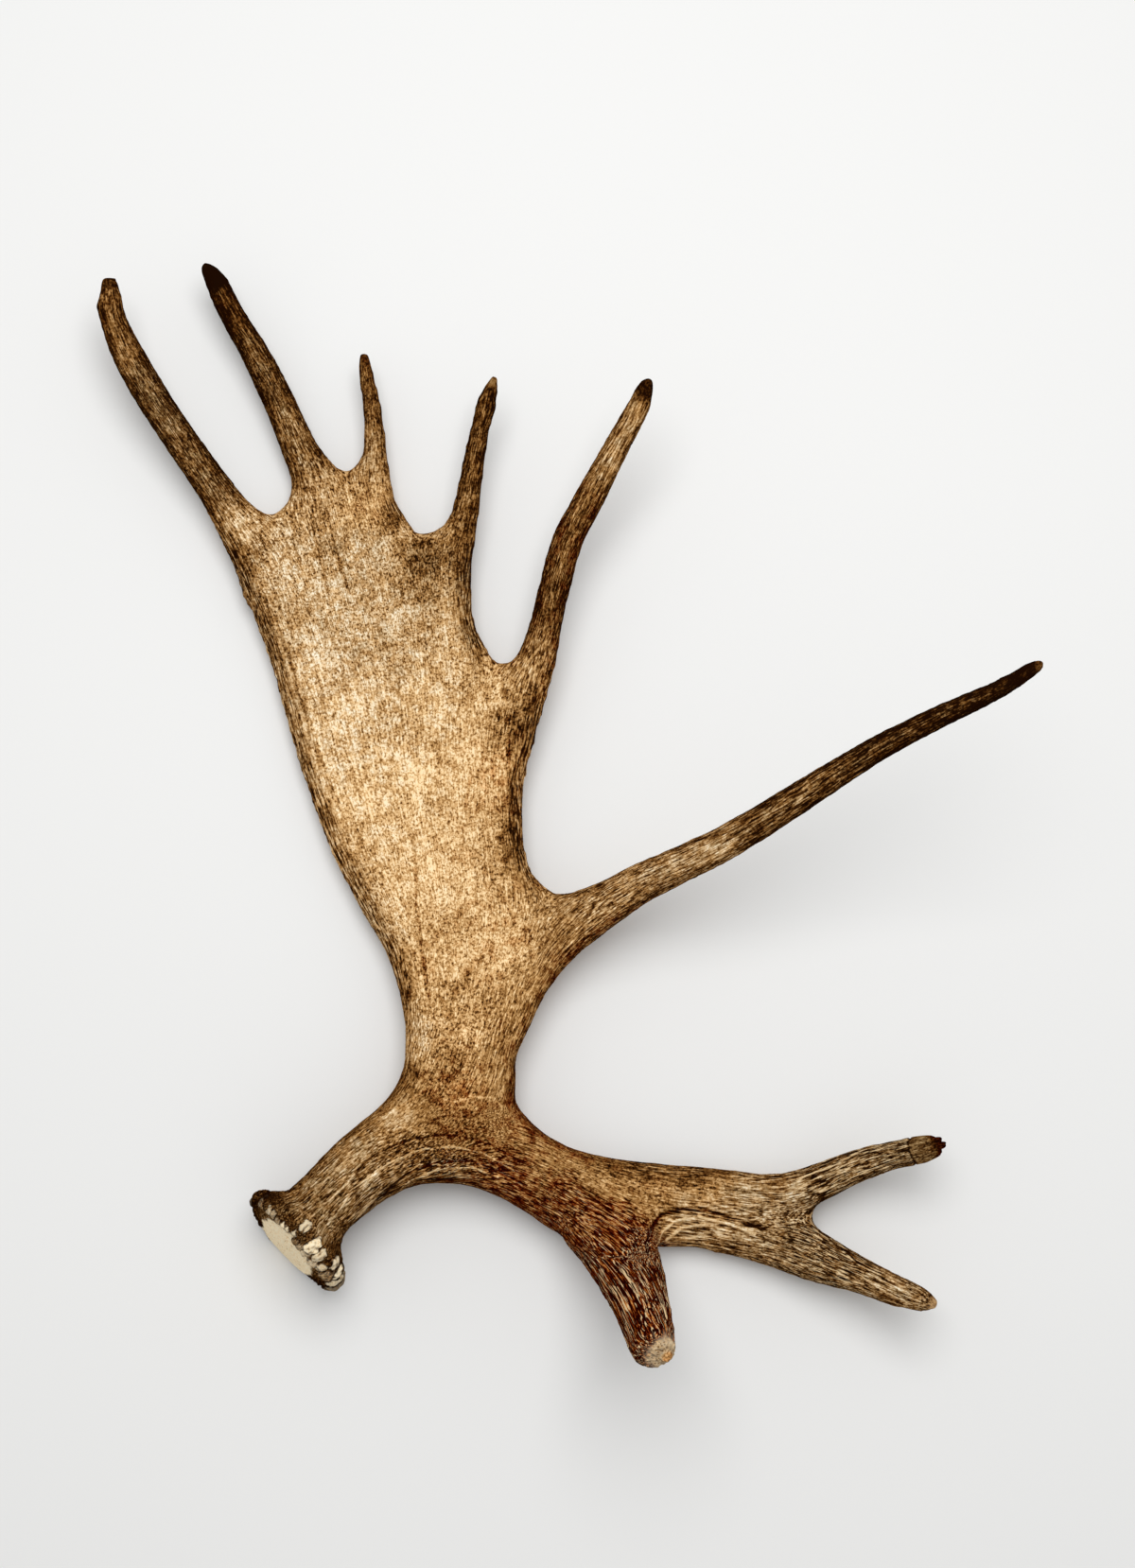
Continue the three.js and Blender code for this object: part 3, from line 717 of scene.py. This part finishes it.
def grain(growth, octave, pitch, stretch, seed):
    """Noise drawn out along the growth lines, with one pitch across them on thin and wide limbs alike."""
    level = np.floor(octave)
    share = octave - level
    total = np.zeros(len(growth))
    for extra, weight in ((0, 1 - share), (1, share)):
        scale = 2.0 ** (level + extra) / pitch
        total += weight * noise(growth * scale[:, None] / np.array([stretch, 1, 1]), seed)
    return total / np.sqrt(share**2 + (1 - share) ** 2)


def looks_at(points):
    """How dark, red, streaked and rough the bone is at each point, from the places around it."""
    places = np.array(PLACES, float)
    weights = np.zeros((len(points), len(places)))
    for index, place in enumerate(places):
        distance = np.hypot(points[:, 0] - place[0], points[:, 1] - place[1])
        weights[:, index] = (distance**2 + PLACE_SOFTNESS**2) ** -PLACE_POWER
    weights /= weights.sum(1, keepdims=True)
    return (weights @ places[:, 2:]).T


def distance_to_line(points, line):
    """Distance in plan to a line of points."""
    best = np.full(len(points), np.inf)
    for start, end in zip(line, line[1:]):
        start = np.array(start, float)
        span = np.array(end, float) - start
        share = np.clip((points[:, :2] - start) @ span / (span @ span), 0, 1)
        best = np.minimum(best, np.linalg.norm(points[:, :2] - start - share[:, None] * span, axis=1))
    return best


def burr_axes():
    """The facing of the burr's flat, and the level and rising directions across it."""
    facing = np.array(BURR_FACING)
    level = directions(np.cross(facing, [[0, 0, 1]]))[0]
    return facing, level, np.cross(level, facing)


def pearls(points):
    """How far the pearls stand out at each point, how bare of stain they are, and where their feet are."""
    facing, level, rising = burr_axes()
    ragged = 1 + PEARL_RAGGED * noise(points / 3.0, 31)
    tall = np.zeros(len(points))
    clean = np.zeros(len(points))
    foot = np.zeros(len(points))
    next_tall = np.zeros(len(points))
    for turn, out, ahead, radius, height, bare in PEARLS:
        turn = math.radians(turn)
        middle = out * (math.cos(turn) * level + math.sin(turn) * rising) + ahead * facing
        offset = points - BURR_MIDDLE - middle
        lengthwise = offset @ facing
        beside = np.sum(offset**2, axis=1) - lengthwise**2
        closeness = np.clip(1 - (beside + (lengthwise / PEARL_STRETCH) ** 2) / (radius * ragged) ** 2, 0, 1)
        stands = closeness**0.6 * height
        higher = stands > tall
        clean = np.where(higher, bare * step(closeness, 0.12, 0.35), clean)
        foot = np.where(higher, 1 - step(closeness, 0.10, 0.40), foot)
        next_tall = np.maximum(next_tall, np.minimum(tall, stands))
        tall = np.maximum(tall, stands)
    crease = (1 - step(tall - next_tall, 0.1, 0.7)) * step(next_tall, 0.2, 0.6)
    clean *= 1 - PEARL_SOILED * step(noise(points / 2.4, 33), 0.0, 0.45)
    return tall, clean, np.maximum(foot, crease)


def relief(points, outward, plan, tips):
    """Moves the skin's points out and in for its relief, and says how each looks."""
    fields = read_plan(plan, points)
    octave = -fields["flow"]
    rise = (points[:, 2] - fields["middle"]) * 2.0 ** fields["flow"]
    growth = np.stack([fields["along"], fields["line"], rise], 1)
    dark, red, streaked, rough = looks_at(points)
    edge = fields["edge"]

    palm = 1 - step(rough, 0.2, 0.45)
    rim = (1 - step(edge, RIM_WIDTH * 0.25, RIM_WIDTH * 1.25)) * palm
    for x, y, reach in PALE_VALLEYS:
        rim = rim * step(np.hypot(points[:, 0] - x, points[:, 1] - y), reach * 0.4, reach)
    # Dark sides of points: partly stain, partly painted shade. Pale, greyer middles: partly the bone's own colour,
    # partly a painted sheen.
    sides = (1 - step(edge, 0, LIMB_EDGE)) * (1 - palm) * (1.2 - streaked)
    middle_pale_and_sheen = step(edge, *LIMB_MIDDLE) * (1 - palm) * (1.2 - streaked)
    dark = dark + RIM_DARKER * rim + LIMB_SIDE_STAIN_AND_SHADE * sides - LIMB_MIDDLE_PALE_AND_SHEEN * middle_pale_and_sheen
    red = red - LIMB_MIDDLE_GREY_AND_SHEEN * middle_pale_and_sheen
    streaked = np.maximum(streaked, RIM_STREAKS * rim)
    rough = np.maximum(rough, RIM_ROUGHER * rim)
    ragged = 0.5 * noise(points / 7.0, 91)
    for x, y, length, width, turn, darker in STAINS:
        turn = math.radians(turn)
        across = (points[:, 0] - x, points[:, 1] - y)
        u = (across[0] * math.cos(turn) + across[1] * math.sin(turn)) / length
        v = (across[1] * math.cos(turn) - across[0] * math.sin(turn)) / width
        dark = dark + darker * (1 - step(np.hypot(u, v) + ragged, 0.3, 1.2))

    swells = SWELLS[0] * grain(growth, octave, *SWELLS[1:], 1)
    ridges = grain(growth, octave, *RIDGES[1:], 2)
    furrows = grain(growth, octave, *FURROWS[1:], 3)
    fine = grain(growth, octave, *FINE_RIDGES[1:], 4)
    furrow = 1 - step(np.abs(furrows), 0, FURROW_WIDTH)
    patchy = step(noise(points / 22.0, 5), -0.5, 0.4)
    fine *= step(rough, FINE_FROM - 0.06, FINE_FROM + 0.1)
    height = rough * (swells + RIDGES[0] * ridges - FURROWS[0] * furrow * patchy + FINE_RIDGES[0] * fine)
    height += UNEVEN[0] * (0.35 + rough) * noise(points / UNEVEN[1], 6)
    crest = np.clip(rough * (0.6 * ridges + 0.5 * fine), -1, 1)
    groove = rough * furrow * patchy

    upper = step(outward[:, 2], 0.1, 0.5)
    wander = noise(points / 8.0, 7)
    veins = 1 - step(np.abs(grain(growth, octave, *PALM_VEINS[1:], 8)), 0, VEIN_WIDTH)
    veins *= palm * step(noise(points / 34.0, 9), 0.0, 0.5)
    height -= PALM_VEINS[0] * veins
    groove = np.maximum(groove, 0.5 * veins)
    for half_width, depth, line in LINES:
        near = (1 - step(distance_to_line(points, line) + 0.8 * wander, 0, half_width)) * upper
        height -= depth * near
        dark = dark + LINE_STAIN * depth * near
        red = red + LINE_STAIN * max(depth, 0) * near
        if depth > 0:
            groove = np.maximum(groove, 0.7 * near)
        else:
            crest = np.maximum(crest, 0.7 * near)

    facing, level, rising = burr_axes()
    from_burr = points - BURR_MIDDLE
    ahead = from_burr @ facing
    seal_reach = np.hypot((from_burr @ level) / SEAL_RADII[0], (from_burr @ rising + SEAL_SHIFT) / SEAL_RADII[1])
    seal_reach += 0.10 * noise(points / 6.0, 10)
    seal = step(outward @ facing, 0.2, 0.6) * (1 - step(seal_reach, 0.9, 1.03))
    seal *= step(ahead, -SEAL_DEPTH, -SEAL_DEPTH + 3)
    bare = seal.copy()
    pits = step(noise(points / SEAL_PITS[1], 11), 0.15, 0.6)
    height = height * (1 - seal) - SEAL_PITS[0] * seal * pits
    groove = np.maximum(groove * (1 - seal), 0.35 * seal * pits)
    height += SEAL_DOME * seal * np.sqrt(np.clip(1 - seal_reach**2, 0, 1))
    knob, clean, foot = np.zeros((3, len(points)))
    burr = np.flatnonzero(np.linalg.norm(from_burr, axis=1) < BURR_RADIUS * 1.6)
    knob[burr], clean[burr], foot[burr] = pearls(points[burr])
    height += knob
    aside = np.linalg.norm(from_burr - ahead[:, None] * facing, axis=1)
    around_burr = step(-np.abs(ahead), -10, -3) * step(aside, 26, 36)
    on_pearl = step(knob, 0.05, 0.4)
    bare = bare * (1 - on_pearl) + clean * on_pearl
    groove = np.maximum(groove * (1 - on_pearl * clean), foot)
    groove = np.maximum(groove, 0.5 * around_burr * (1 - on_pearl) * (1 - seal))

    reach = np.zeros_like(points)
    tip_ragged = 0.22 * noise(points / 5.0, 13)
    for name, (tip, toward) in tips.items():
        length, tip_dark, tip_red, tip_bare, drawn, wider, blunt = TIP_LOOKS[name]
        offset = points - tip
        behind = -(offset @ toward)
        beside = np.linalg.norm(offset + behind[:, None] * toward, axis=1)
        distance = np.linalg.norm(offset, axis=1)
        share = 1 - step(distance / length + tip_ragged, 0.55, 1.15)
        dark = dark * (1 - share) + tip_dark * share
        red = red * (1 - share) + tip_red * share
        bare = np.maximum(bare, share * tip_bare)
        streaked = streaked * (1 - share)
        crest = crest * (1 - share)
        sideways = outward - (outward @ toward)[:, None] * toward
        reach += drawn * (1 - step(distance, 1, TIP_DRAWN))[:, None] * toward
        widened = (1 - step(distance, *TIP_WIDENED)) * np.maximum(blunt, step(distance, 0, SHARP_END))
        reach += wider * widened[:, None] * sideways
        if name == BROKEN_POINT:
            torn = BROKEN_RADIUS * (1 + 0.35 * noise(points / 3.5, 14))
            hollow = (1 - step(beside, torn * 0.7, torn * 1.1)) * (1 - step(behind, 4, 11))
            height -= BROKEN_DEPTH * hollow
            from_end = distance + 2.6 * noise(points / 8.0, 15)
            end_part = 1 - step(from_end, CRACK_FROM_TIP - 1, CRACK_FROM_TIP + 1)
            streaked = streaked * (1 - 0.75 * end_part)
            dark = dark * (1 - end_part) + BROKEN_TONE[0] * end_part
            red = red * (1 - end_part) + BROKEN_TONE[1] * end_part
            height *= 1 - 0.5 * end_part * (1 - hollow)
            # The end of the broken point is painted near black with a red cast: painted shade for its hollow.
            socket = 1 - step(distance + 3 * noise(points / 4.0, 16), 9.5, 12.5)
            dark = dark * (1 - socket) + 0.98 * socket
            red = red * (1 - socket) + 0.8 * socket
            crack = 1 - step(np.abs(from_end - CRACK_FROM_TIP), 0, CRACK_HALF_WIDTH)
            height -= CRACK_DEPTH * crack
            dark = dark + 0.16 * crack
            groove = np.maximum(groove, 0.6 * crack)
        if name == WORN_POINT:
            eye = 1 - step(distance, WORN_EYE_RADIUS * 0.6, WORN_EYE_RADIUS)
            ring = step(distance, WORN_EYE_RADIUS * 0.7, WORN_EYE_RADIUS) * (1 - step(distance, WORN_EYE_RADIUS * 1.3, WORN_EYE_RADIUS * 2))
            height += 0.5 * eye - 0.7 * ring
            bare = bare * (1 - eye)
            dark = dark * (1 - eye) + 0.34 * eye
            red = red * (1 - eye) + 0.7 * eye
            groove = np.maximum(groove, 0.5 * ring)

    moved = points + outward * height[:, None] + reach
    moved[:, 2] = np.maximum(moved[:, 2], 0.0)
    looks = {
        "growth": growth,
        "octave": octave,
        "tone": np.stack([dark, red, streaked], 1),
        "marks": np.stack([groove, crest, bare], 1),
        "face": np.stack([palm * (1 - rim), rough, edge], 1),
    }
    return moved, looks


def set_attribute(mesh, name, values):
    kind, key = ("FLOAT", "value") if values.ndim == 1 else ("FLOAT_VECTOR", "vector")
    attribute = mesh.attributes.new(name, kind, "POINT")
    attribute.data.foreach_set(key, values.astype(np.float32).ravel())


def get_vectors(mesh, name):
    flat = np.empty(len(mesh.vertices) * 3, np.float32)
    mesh.attributes[name].data.foreach_get("vector", flat)
    return flat.reshape(-1, 3).astype(float)


def close_ends(limb):
    """Closes the cuts of a limb with a fan of faces each."""
    select_only(limb)
    bpy.ops.object.mode_set(mode="EDIT")
    bpy.ops.mesh.select_mode(type="EDGE")
    bpy.ops.mesh.select_all(action="DESELECT")
    bpy.ops.mesh.select_non_manifold()
    before = len(limb.data.polygons)
    bpy.ops.mesh.fill_holes(sides=0)
    bpy.ops.object.mode_set(mode="OBJECT")
    ends = np.zeros(len(limb.data.polygons), bool)
    ends[before:] = True
    bpy.ops.object.mode_set(mode="EDIT")
    bpy.ops.mesh.select_mode(type="FACE")
    bpy.ops.mesh.select_all(action="DESELECT")
    bpy.ops.object.mode_set(mode="OBJECT")
    limb.data.polygons.foreach_set("select", ends)
    bpy.ops.object.mode_set(mode="EDIT")
    bpy.ops.mesh.poke()
    bpy.ops.object.mode_set(mode="OBJECT")
    return before


def corner_normals(mesh):
    """Corners' faces and vertices, and the faces' normals times their size."""
    count = len(mesh.loops)
    vertex = np.empty(count, np.int32)
    mesh.loops.foreach_get("vertex_index", vertex)
    sizes = np.empty(len(mesh.polygons), np.int32)
    mesh.polygons.foreach_get("loop_total", sizes)
    face = np.repeat(np.arange(len(sizes)), sizes)
    normals = np.empty(len(sizes) * 3, np.float32)
    mesh.polygons.foreach_get("normal", normals)
    areas = np.empty(len(sizes), np.float32)
    mesh.polygons.foreach_get("area", areas)
    return vertex, face, normals.reshape(-1, 3).astype(float), areas.astype(float)


def shade_together(limbs, rests, closed_from):
    """Gives the limbs one smooth surface across the forks, and flat ends inside them."""
    keys = np.concatenate([np.round(rest, 3) for rest in rests.values()])
    shared = np.unique(keys, axis=0, return_inverse=True)[1].ravel()
    totals = np.zeros((shared.max() + 1, 3))
    start = 0
    spans = {}
    for name, limb in limbs.items():
        vertex, face, normals, areas = corner_normals(limb.data)
        outer = face < closed_from[name]
        index = shared[start + vertex[outer]]
        for axis in range(3):
            weight = (normals[:, axis] * areas)[face[outer]]
            totals[:, axis] += np.bincount(index, weight, len(totals))
        spans[name] = (start, vertex, face, normals, outer)
        start += len(rests[name])
    totals = directions(totals)
    for name, limb in limbs.items():
        start, vertex, face, normals, outer = spans[name]
        corners = normals[face].copy()
        corners[outer] = totals[shared[start + vertex[outer]]]
        select_only(limb)
        bpy.ops.object.shade_smooth()
        limb.data.normals_split_custom_set(corners.astype(np.float32))


def new_node(tree, kind, **settings):
    made = tree.nodes.new(kind)
    for name, value in settings.items():
        setattr(made, name, value)
    return made


def feed(tree, made, slot, value):
    """Links a socket to another node's output, or sets it to a number or colour."""
    if isinstance(value, bpy.types.NodeSocket):
        tree.links.new(value, made.inputs[slot])
    else:
        made.inputs[slot].default_value = value


def maths(tree, operation, *values):
    made = new_node(tree, "ShaderNodeMath", operation=operation)
    for slot, value in enumerate(values):
        feed(tree, made, slot, value)
    return made.outputs[0]


def ramped(tree, value, low, high, bottom=0.0, top=1.0):
    made = new_node(tree, "ShaderNodeMapRange", interpolation_type="SMOOTHSTEP")
    for slot, setting in enumerate((value, low, high, bottom, top)):
        feed(tree, made, slot, setting)
    return made.outputs[0]


def scaled(tree, vector, factors, shift=(0, 0, 0)):
    made = new_node(tree, "ShaderNodeVectorMath", operation="MULTIPLY_ADD")
    for slot, value in enumerate((vector, factors, shift)):
        feed(tree, made, slot, value)
    return made.outputs[0]


def thin_line(tree, value, half_width):
    """1 where the value is close to a half, so a thin line on a drawn-out pattern."""
    return ramped(tree, maths(tree, "ABSOLUTE", maths(tree, "SUBTRACT", value, 0.5)), 0.0, half_width, 1.0, 0.0)


def pattern(tree, vector, scale, detail=2.0, rough=0.5):
    made = new_node(tree, "ShaderNodeTexNoise", noise_dimensions="3D")
    feed(tree, made, "Vector", vector)
    feed(tree, made, "Scale", scale)
    feed(tree, made, "Detail", detail)
    feed(tree, made, "Roughness", rough)
    return made.outputs["Fac"]


def attribute_of(tree, name):
    return new_node(tree, "ShaderNodeAttribute", attribute_name=name)


def blended(tree, kind, share, first, second):
    made = new_node(tree, "ShaderNodeMix", data_type="RGBA", blend_type=kind)
    feed(tree, made, 0, share)
    feed(tree, made, 6, first)
    feed(tree, made, 7, second)
    return made.outputs[2]


def colour_ramp(tree, value, stops):
    made = new_node(tree, "ShaderNodeValToRGB")
    ramp = made.color_ramp
    while len(ramp.elements) < len(stops):
        ramp.elements.new(0.5)
    for element, (place, colour) in zip(ramp.elements, stops):
        element.position = place
        element.color = (*colour, 1)
    feed(tree, made, "Fac", value)
    return made.outputs[0]


def bone_material(name, shine):
    """Bone with growth streaks, flecks, blotches, pale crests, stained grooves and a porous bare part."""
    material = bpy.data.materials.new(name)
    material.use_nodes = True
    tree = material.node_tree
    shader = tree.nodes["Principled BSDF"]
    growth = attribute_of(tree, "growth").outputs["Vector"]
    octave = attribute_of(tree, "octave").outputs["Fac"]
    tone = new_node(tree, "ShaderNodeSeparateXYZ")
    feed(tree, tone, 0, attribute_of(tree, "tone").outputs["Vector"])
    dark, red, streaked = tone.outputs
    marks = new_node(tree, "ShaderNodeSeparateXYZ")
    feed(tree, marks, 0, attribute_of(tree, "marks").outputs["Vector"])
    groove, crest, bare = marks.outputs
    face = new_node(tree, "ShaderNodeSeparateXYZ")
    feed(tree, face, 0, attribute_of(tree, "face").outputs["Vector"])
    palm, rough, _ = face.outputs
    place = new_node(tree, "ShaderNodeTexCoord").outputs["Object"]

    level = maths(tree, "FLOOR", octave)
    share = ramped(tree, maths(tree, "FRACT", octave), 0.25, 0.75)
    size = maths(tree, "POWER", 2.0, level)
    near = new_node(tree, "ShaderNodeVectorMath", operation="SCALE")
    feed(tree, near, 0, growth)
    feed(tree, near, "Scale", size)
    near = near.outputs[0]
    far = scaled(tree, near, (2, 2, 2))

    def streaks(pitch, stretch, detail, seed):
        """Noise drawn out along the growth lines."""
        factors = (1 / (pitch * stretch), 1 / pitch, 1 / pitch)
        first = pattern(tree, scaled(tree, near, factors, (seed, 0, 0)), 1.0, detail)
        second = pattern(tree, scaled(tree, far, factors, (seed, 0, 0)), 1.0, detail)
        mix = new_node(tree, "ShaderNodeMix", data_type="FLOAT")
        feed(tree, mix, 0, share)
        feed(tree, mix, 2, first)
        feed(tree, mix, 3, second)
        return mix.outputs[0]

    lines = streaks(1.25, 12.0, 2.0, 0)
    threads = streaks(0.9, 9.0, 1.0, 100)
    pale_lines = thin_line(tree, streaks(2.0, 20.0, 1.0, 200), 0.070)
    dark_lines = thin_line(tree, streaks(1.7, 15.0, 1.0, 300), 0.050)
    pale_veins = thin_line(tree, streaks(6.5, 40.0, 0.0, 600), 0.030)
    flecks = streaks(1.3, 1.7, 2.0, 400)
    blotches = pattern(tree, place, 1 / (30 * MM), 3.0, 0.6)
    mottle = pattern(tree, place, 1 / (7 * MM), 4.0, 0.65)
    specks = pattern(tree, place, 1 / (1.8 * MM), 2.0, 0.6)

    streak_part = maths(
        tree,
        "ADD",
        ramped(tree, lines, 0.38, 0.62, -0.38, 0.38),
        ramped(tree, threads, 0.40, 0.60, -0.72, 0.72),
    )
    streak_part = maths(tree, "MULTIPLY", streak_part, maths(tree, "MULTIPLY_ADD", streaked, 0.36, 0.03))
    fleck_part = maths(
        tree,
        "ADD",
        ramped(tree, flecks, 0.46, 0.60, -0.3, 0.5),
        ramped(tree, specks, 0.47, 0.61, -0.4, 0.6),
    )
    fleck_part = maths(tree, "MULTIPLY", fleck_part, maths(tree, "MULTIPLY_ADD", palm, 0.15, 0.16))
    blotch_part = maths(
        tree,
        "ADD",
        ramped(tree, blotches, 0.32, 0.68, -0.5, 0.5),
        ramped(tree, mottle, 0.40, 0.62, -0.6, 0.6),
    )
    blotch_part = maths(tree, "MULTIPLY", blotch_part, maths(tree, "MULTIPLY_ADD", palm, 0.09, 0.06))
    total = maths(tree, "ADD", maths(tree, "ADD", dark, streak_part), maths(tree, "ADD", fleck_part, blotch_part))
    groove_part = maths(tree, "MULTIPLY", groove, maths(tree, "MULTIPLY_ADD", rough, 0.22, 0.12))
    total = maths(tree, "ADD", total, groove_part)
    palm_lines = maths(tree, "SUBTRACT", thin_line(tree, streaks(5.5, 40.0, 0.0, 500), 0.030), pale_veins)
    total = maths(tree, "ADD", total, maths(tree, "MULTIPLY", maths(tree, "MULTIPLY", palm_lines, palm), 0.13))
    dark_lines = maths(tree, "MULTIPLY", maths(tree, "MULTIPLY", dark_lines, streaked), maths(tree, "MULTIPLY_ADD", rough, 0.36, 0.06))
    total = maths(tree, "ADD", total, dark_lines)
    worn = maths(tree, "MULTIPLY", ramped(tree, crest, 0.15, 0.6), ramped(tree, threads, 0.44, 0.56))
    fine_crests = maths(tree, "MULTIPLY", maths(tree, "MULTIPLY", pale_lines, streaked), ramped(tree, lines, 0.62, 0.45))
    worn = maths(tree, "MAXIMUM", worn, fine_crests)
    total = maths(tree, "SUBTRACT", total, maths(tree, "MULTIPLY", worn, 0.24))
    total = maths(tree, "MINIMUM", total, DARKEST)
    colour = colour_ramp(tree, total, BONE_RAMP)
    hue = maths(tree, "ADD", red, ramped(tree, mottle, 0.3, 0.7, -0.13, 0.13))
    faded = maths(tree, "MULTIPLY", streaked, ramped(tree, total, 0.80, 0.45, 0.0, 0.40))
    hue = maths(tree, "MULTIPLY", hue, maths(tree, "SUBTRACT", 1.0, faded))
    cast = blended(tree, "MIX", ramped(tree, hue, 0.0, PLAIN_HUE), (*GREY_CAST, 1), (*PLAIN_CAST, 1))
    cast = blended(tree, "MIX", ramped(tree, hue, PLAIN_HUE, 1.0), cast, (*RED_CAST, 1))
    colour = blended(tree, "MULTIPLY", 1.0, colour, cast)
    dark_red = maths(tree, "MULTIPLY", ramped(tree, hue, 0.55, 0.95), ramped(tree, total, 0.60, 0.85))
    colour = blended(tree, "MULTIPLY", dark_red, colour, (*DARK_RED_CAST, 1))
    worn_share = ramped(tree, maths(tree, "MULTIPLY", worn, streaked), 0.40, 0.80, 0.0, 0.90)
    colour = blended(tree, "MIX", worn_share, colour, (*WORN_CREST, 1))
    pores = pattern(tree, place, 1 / (1.6 * MM), 2.0)
    open_bone = colour_ramp(tree, pores, ((0.26, BARE_PORES), (0.38, BARE_BONE), (0.60, BARE_SHEEN)))
    stained = maths(tree, "MULTIPLY", bare, ramped(tree, groove, 0.2, 0.9, 1.0, 0.1))
    colour = blended(tree, "MIX", stained, colour, open_bone)
    tree.links.new(colour, shader.inputs["Base Color"])

    roughness = maths(tree, "MULTIPLY_ADD", flecks, 0.22, shine)
    feed(tree, shader, "Roughness", maths(tree, "ADD", roughness, maths(tree, "MULTIPLY", groove, 0.12)))
    shader.inputs["Specular IOR Level"].default_value = GLOSS
    ridge = maths(tree, "MULTIPLY", maths(tree, "ADD", lines, maths(tree, "MULTIPLY", threads, 0.6)), maths(tree, "MULTIPLY_ADD", streaked, 0.9, 0.12))
    height = maths(tree, "ADD", ridge, maths(tree, "MULTIPLY", flecks, -0.22))
    height = maths(tree, "ADD", height, maths(tree, "MULTIPLY", maths(tree, "MULTIPLY", pores, bare), 0.9))
    bump = new_node(tree, "ShaderNodeBump")
    feed(tree, bump, "Height", height)
    feed(tree, bump, "Strength", 0.55)
    feed(tree, bump, "Distance", 1.1 * MM)
    tree.links.new(bump.outputs[0], shader.inputs["Normal"])
    return material


def tip_of(node, fork):
    """The end of a point and the way it points."""
    points = vertices_of(node.data)
    tip = points[np.linalg.norm(points - fork[0], axis=1).argmax()]
    near = points[np.linalg.norm(points - tip, axis=1) < 28]
    toward = tip - near.mean(0)
    return tip, toward / np.linalg.norm(toward)


def build_antler(nodes, slots):
    tips = {}
    for name in POINT_SHARES:
        tips[name] = tip_of(nodes[name], fork_between(nodes[name], nodes[GROWS_FROM[name]]))
    skin = one_skin(nodes)
    points = vertices_of(skin.data)
    plan = growth_plan(points, [(tips[name][0], share) for name, share in POINT_SHARES.items()])
    flat = np.empty(len(points) * 3, np.float32)
    skin.data.vertices.foreach_get("normal", flat)
    set_attribute(skin.data, "outward", flat.reshape(-1, 3))
    limbs = limbs_of(skin, nodes)
    for name, limb in limbs.items():
        if name != "main_palm":
            refine(limb)
    rests = {name: vertices_of(limb.data) for name, limb in limbs.items()}
    points = np.concatenate(list(rests.values()))
    outward = directions(np.concatenate([get_vectors(limb.data, "outward") for limb in limbs.values()]))
    moved, looks = relief(points, outward, plan, tips)
    materials = {
        "bone_palm": bone_material("pale_palm_bone", 0.46),
        "bone_beam": bone_material("beam_bone", 0.44),
        "bone_points": bone_material("point_bone", 0.40),
        "bone_brow": bone_material("brow_bone", 0.40),
    }
    start = 0
    closed_from = {}
    for name, limb in limbs.items():
        end = start + len(rests[name])
        place_vertices(limb.data, moved[start:end])
        for key, values in looks.items():
            set_attribute(limb.data, key, values[start:end])
        limb.data.attributes.remove(limb.data.attributes["outward"])
        closed_from[name] = close_ends(limb)
        start = end
    shade_together(limbs, rests, closed_from)
    for name, limb in limbs.items():
        limb.name = "bone_" + name
        limb.data.name = limb.name
        limb.data.materials.clear()
        limb.data.materials.append(materials[slots[name]])
        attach(limb, "root")
        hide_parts(name)


def build_stage():
    bpy.ops.mesh.primitive_plane_add(size=FLOOR_SIZE * MM, location=(0, 0, -FLOOR_DROP * MM))
    floor = bpy.context.active_object
    floor.name = "floor"
    material = bpy.data.materials.new("pale_floor")
    material.use_nodes = True
    shader = material.node_tree.nodes["Principled BSDF"]
    shader.inputs["Base Color"].default_value = (*FLOOR_COLOUR, 1)
    shader.inputs["Roughness"].default_value = 0.7
    shader.inputs["Specular IOR Level"].default_value = 0.2
    floor.data.materials.append(material)

    aim = Vector(CAMERA_AIM) * MM
    bpy.ops.object.light_add(type="AREA", location=Vector(LAMP_PLACE) * MM)
    lamp = bpy.context.active_object
    lamp.data.shape = "DISK"
    lamp.data.size = LAMP_SIZE * MM
    lamp.data.energy = LAMP_POWER
    lamp.rotation_euler = (aim - lamp.location).to_track_quat("-Z", "Y").to_euler()
    world = bpy.data.worlds.new("room")
    bpy.context.scene.world = world
    world.use_nodes = True
    world.node_tree.nodes["Background"].inputs["Color"].default_value = (1, 1, 1, 1)
    world.node_tree.nodes["Background"].inputs["Strength"].default_value = ROOM_LIGHT
    bpy.context.scene.view_settings.view_transform = "Standard"

    tilt = math.radians(CAMERA_TILT)
    back = Vector((0, -math.sin(tilt), math.cos(tilt)))
    bpy.ops.object.camera_add(location=aim + back * CAMERA_DISTANCE * MM, rotation=(tilt, 0, 0))
    camera = bpy.context.active_object
    camera.data.lens = CAMERA_LENS
    camera.data.sensor_width = CAMERA_SENSOR
    bpy.context.scene.camera = camera


record_slots = {part["node"]: part["material_slot"] for part in frame["record"]["subparts"]}
build_antler(frame["nodes"], record_slots)
build_stage()
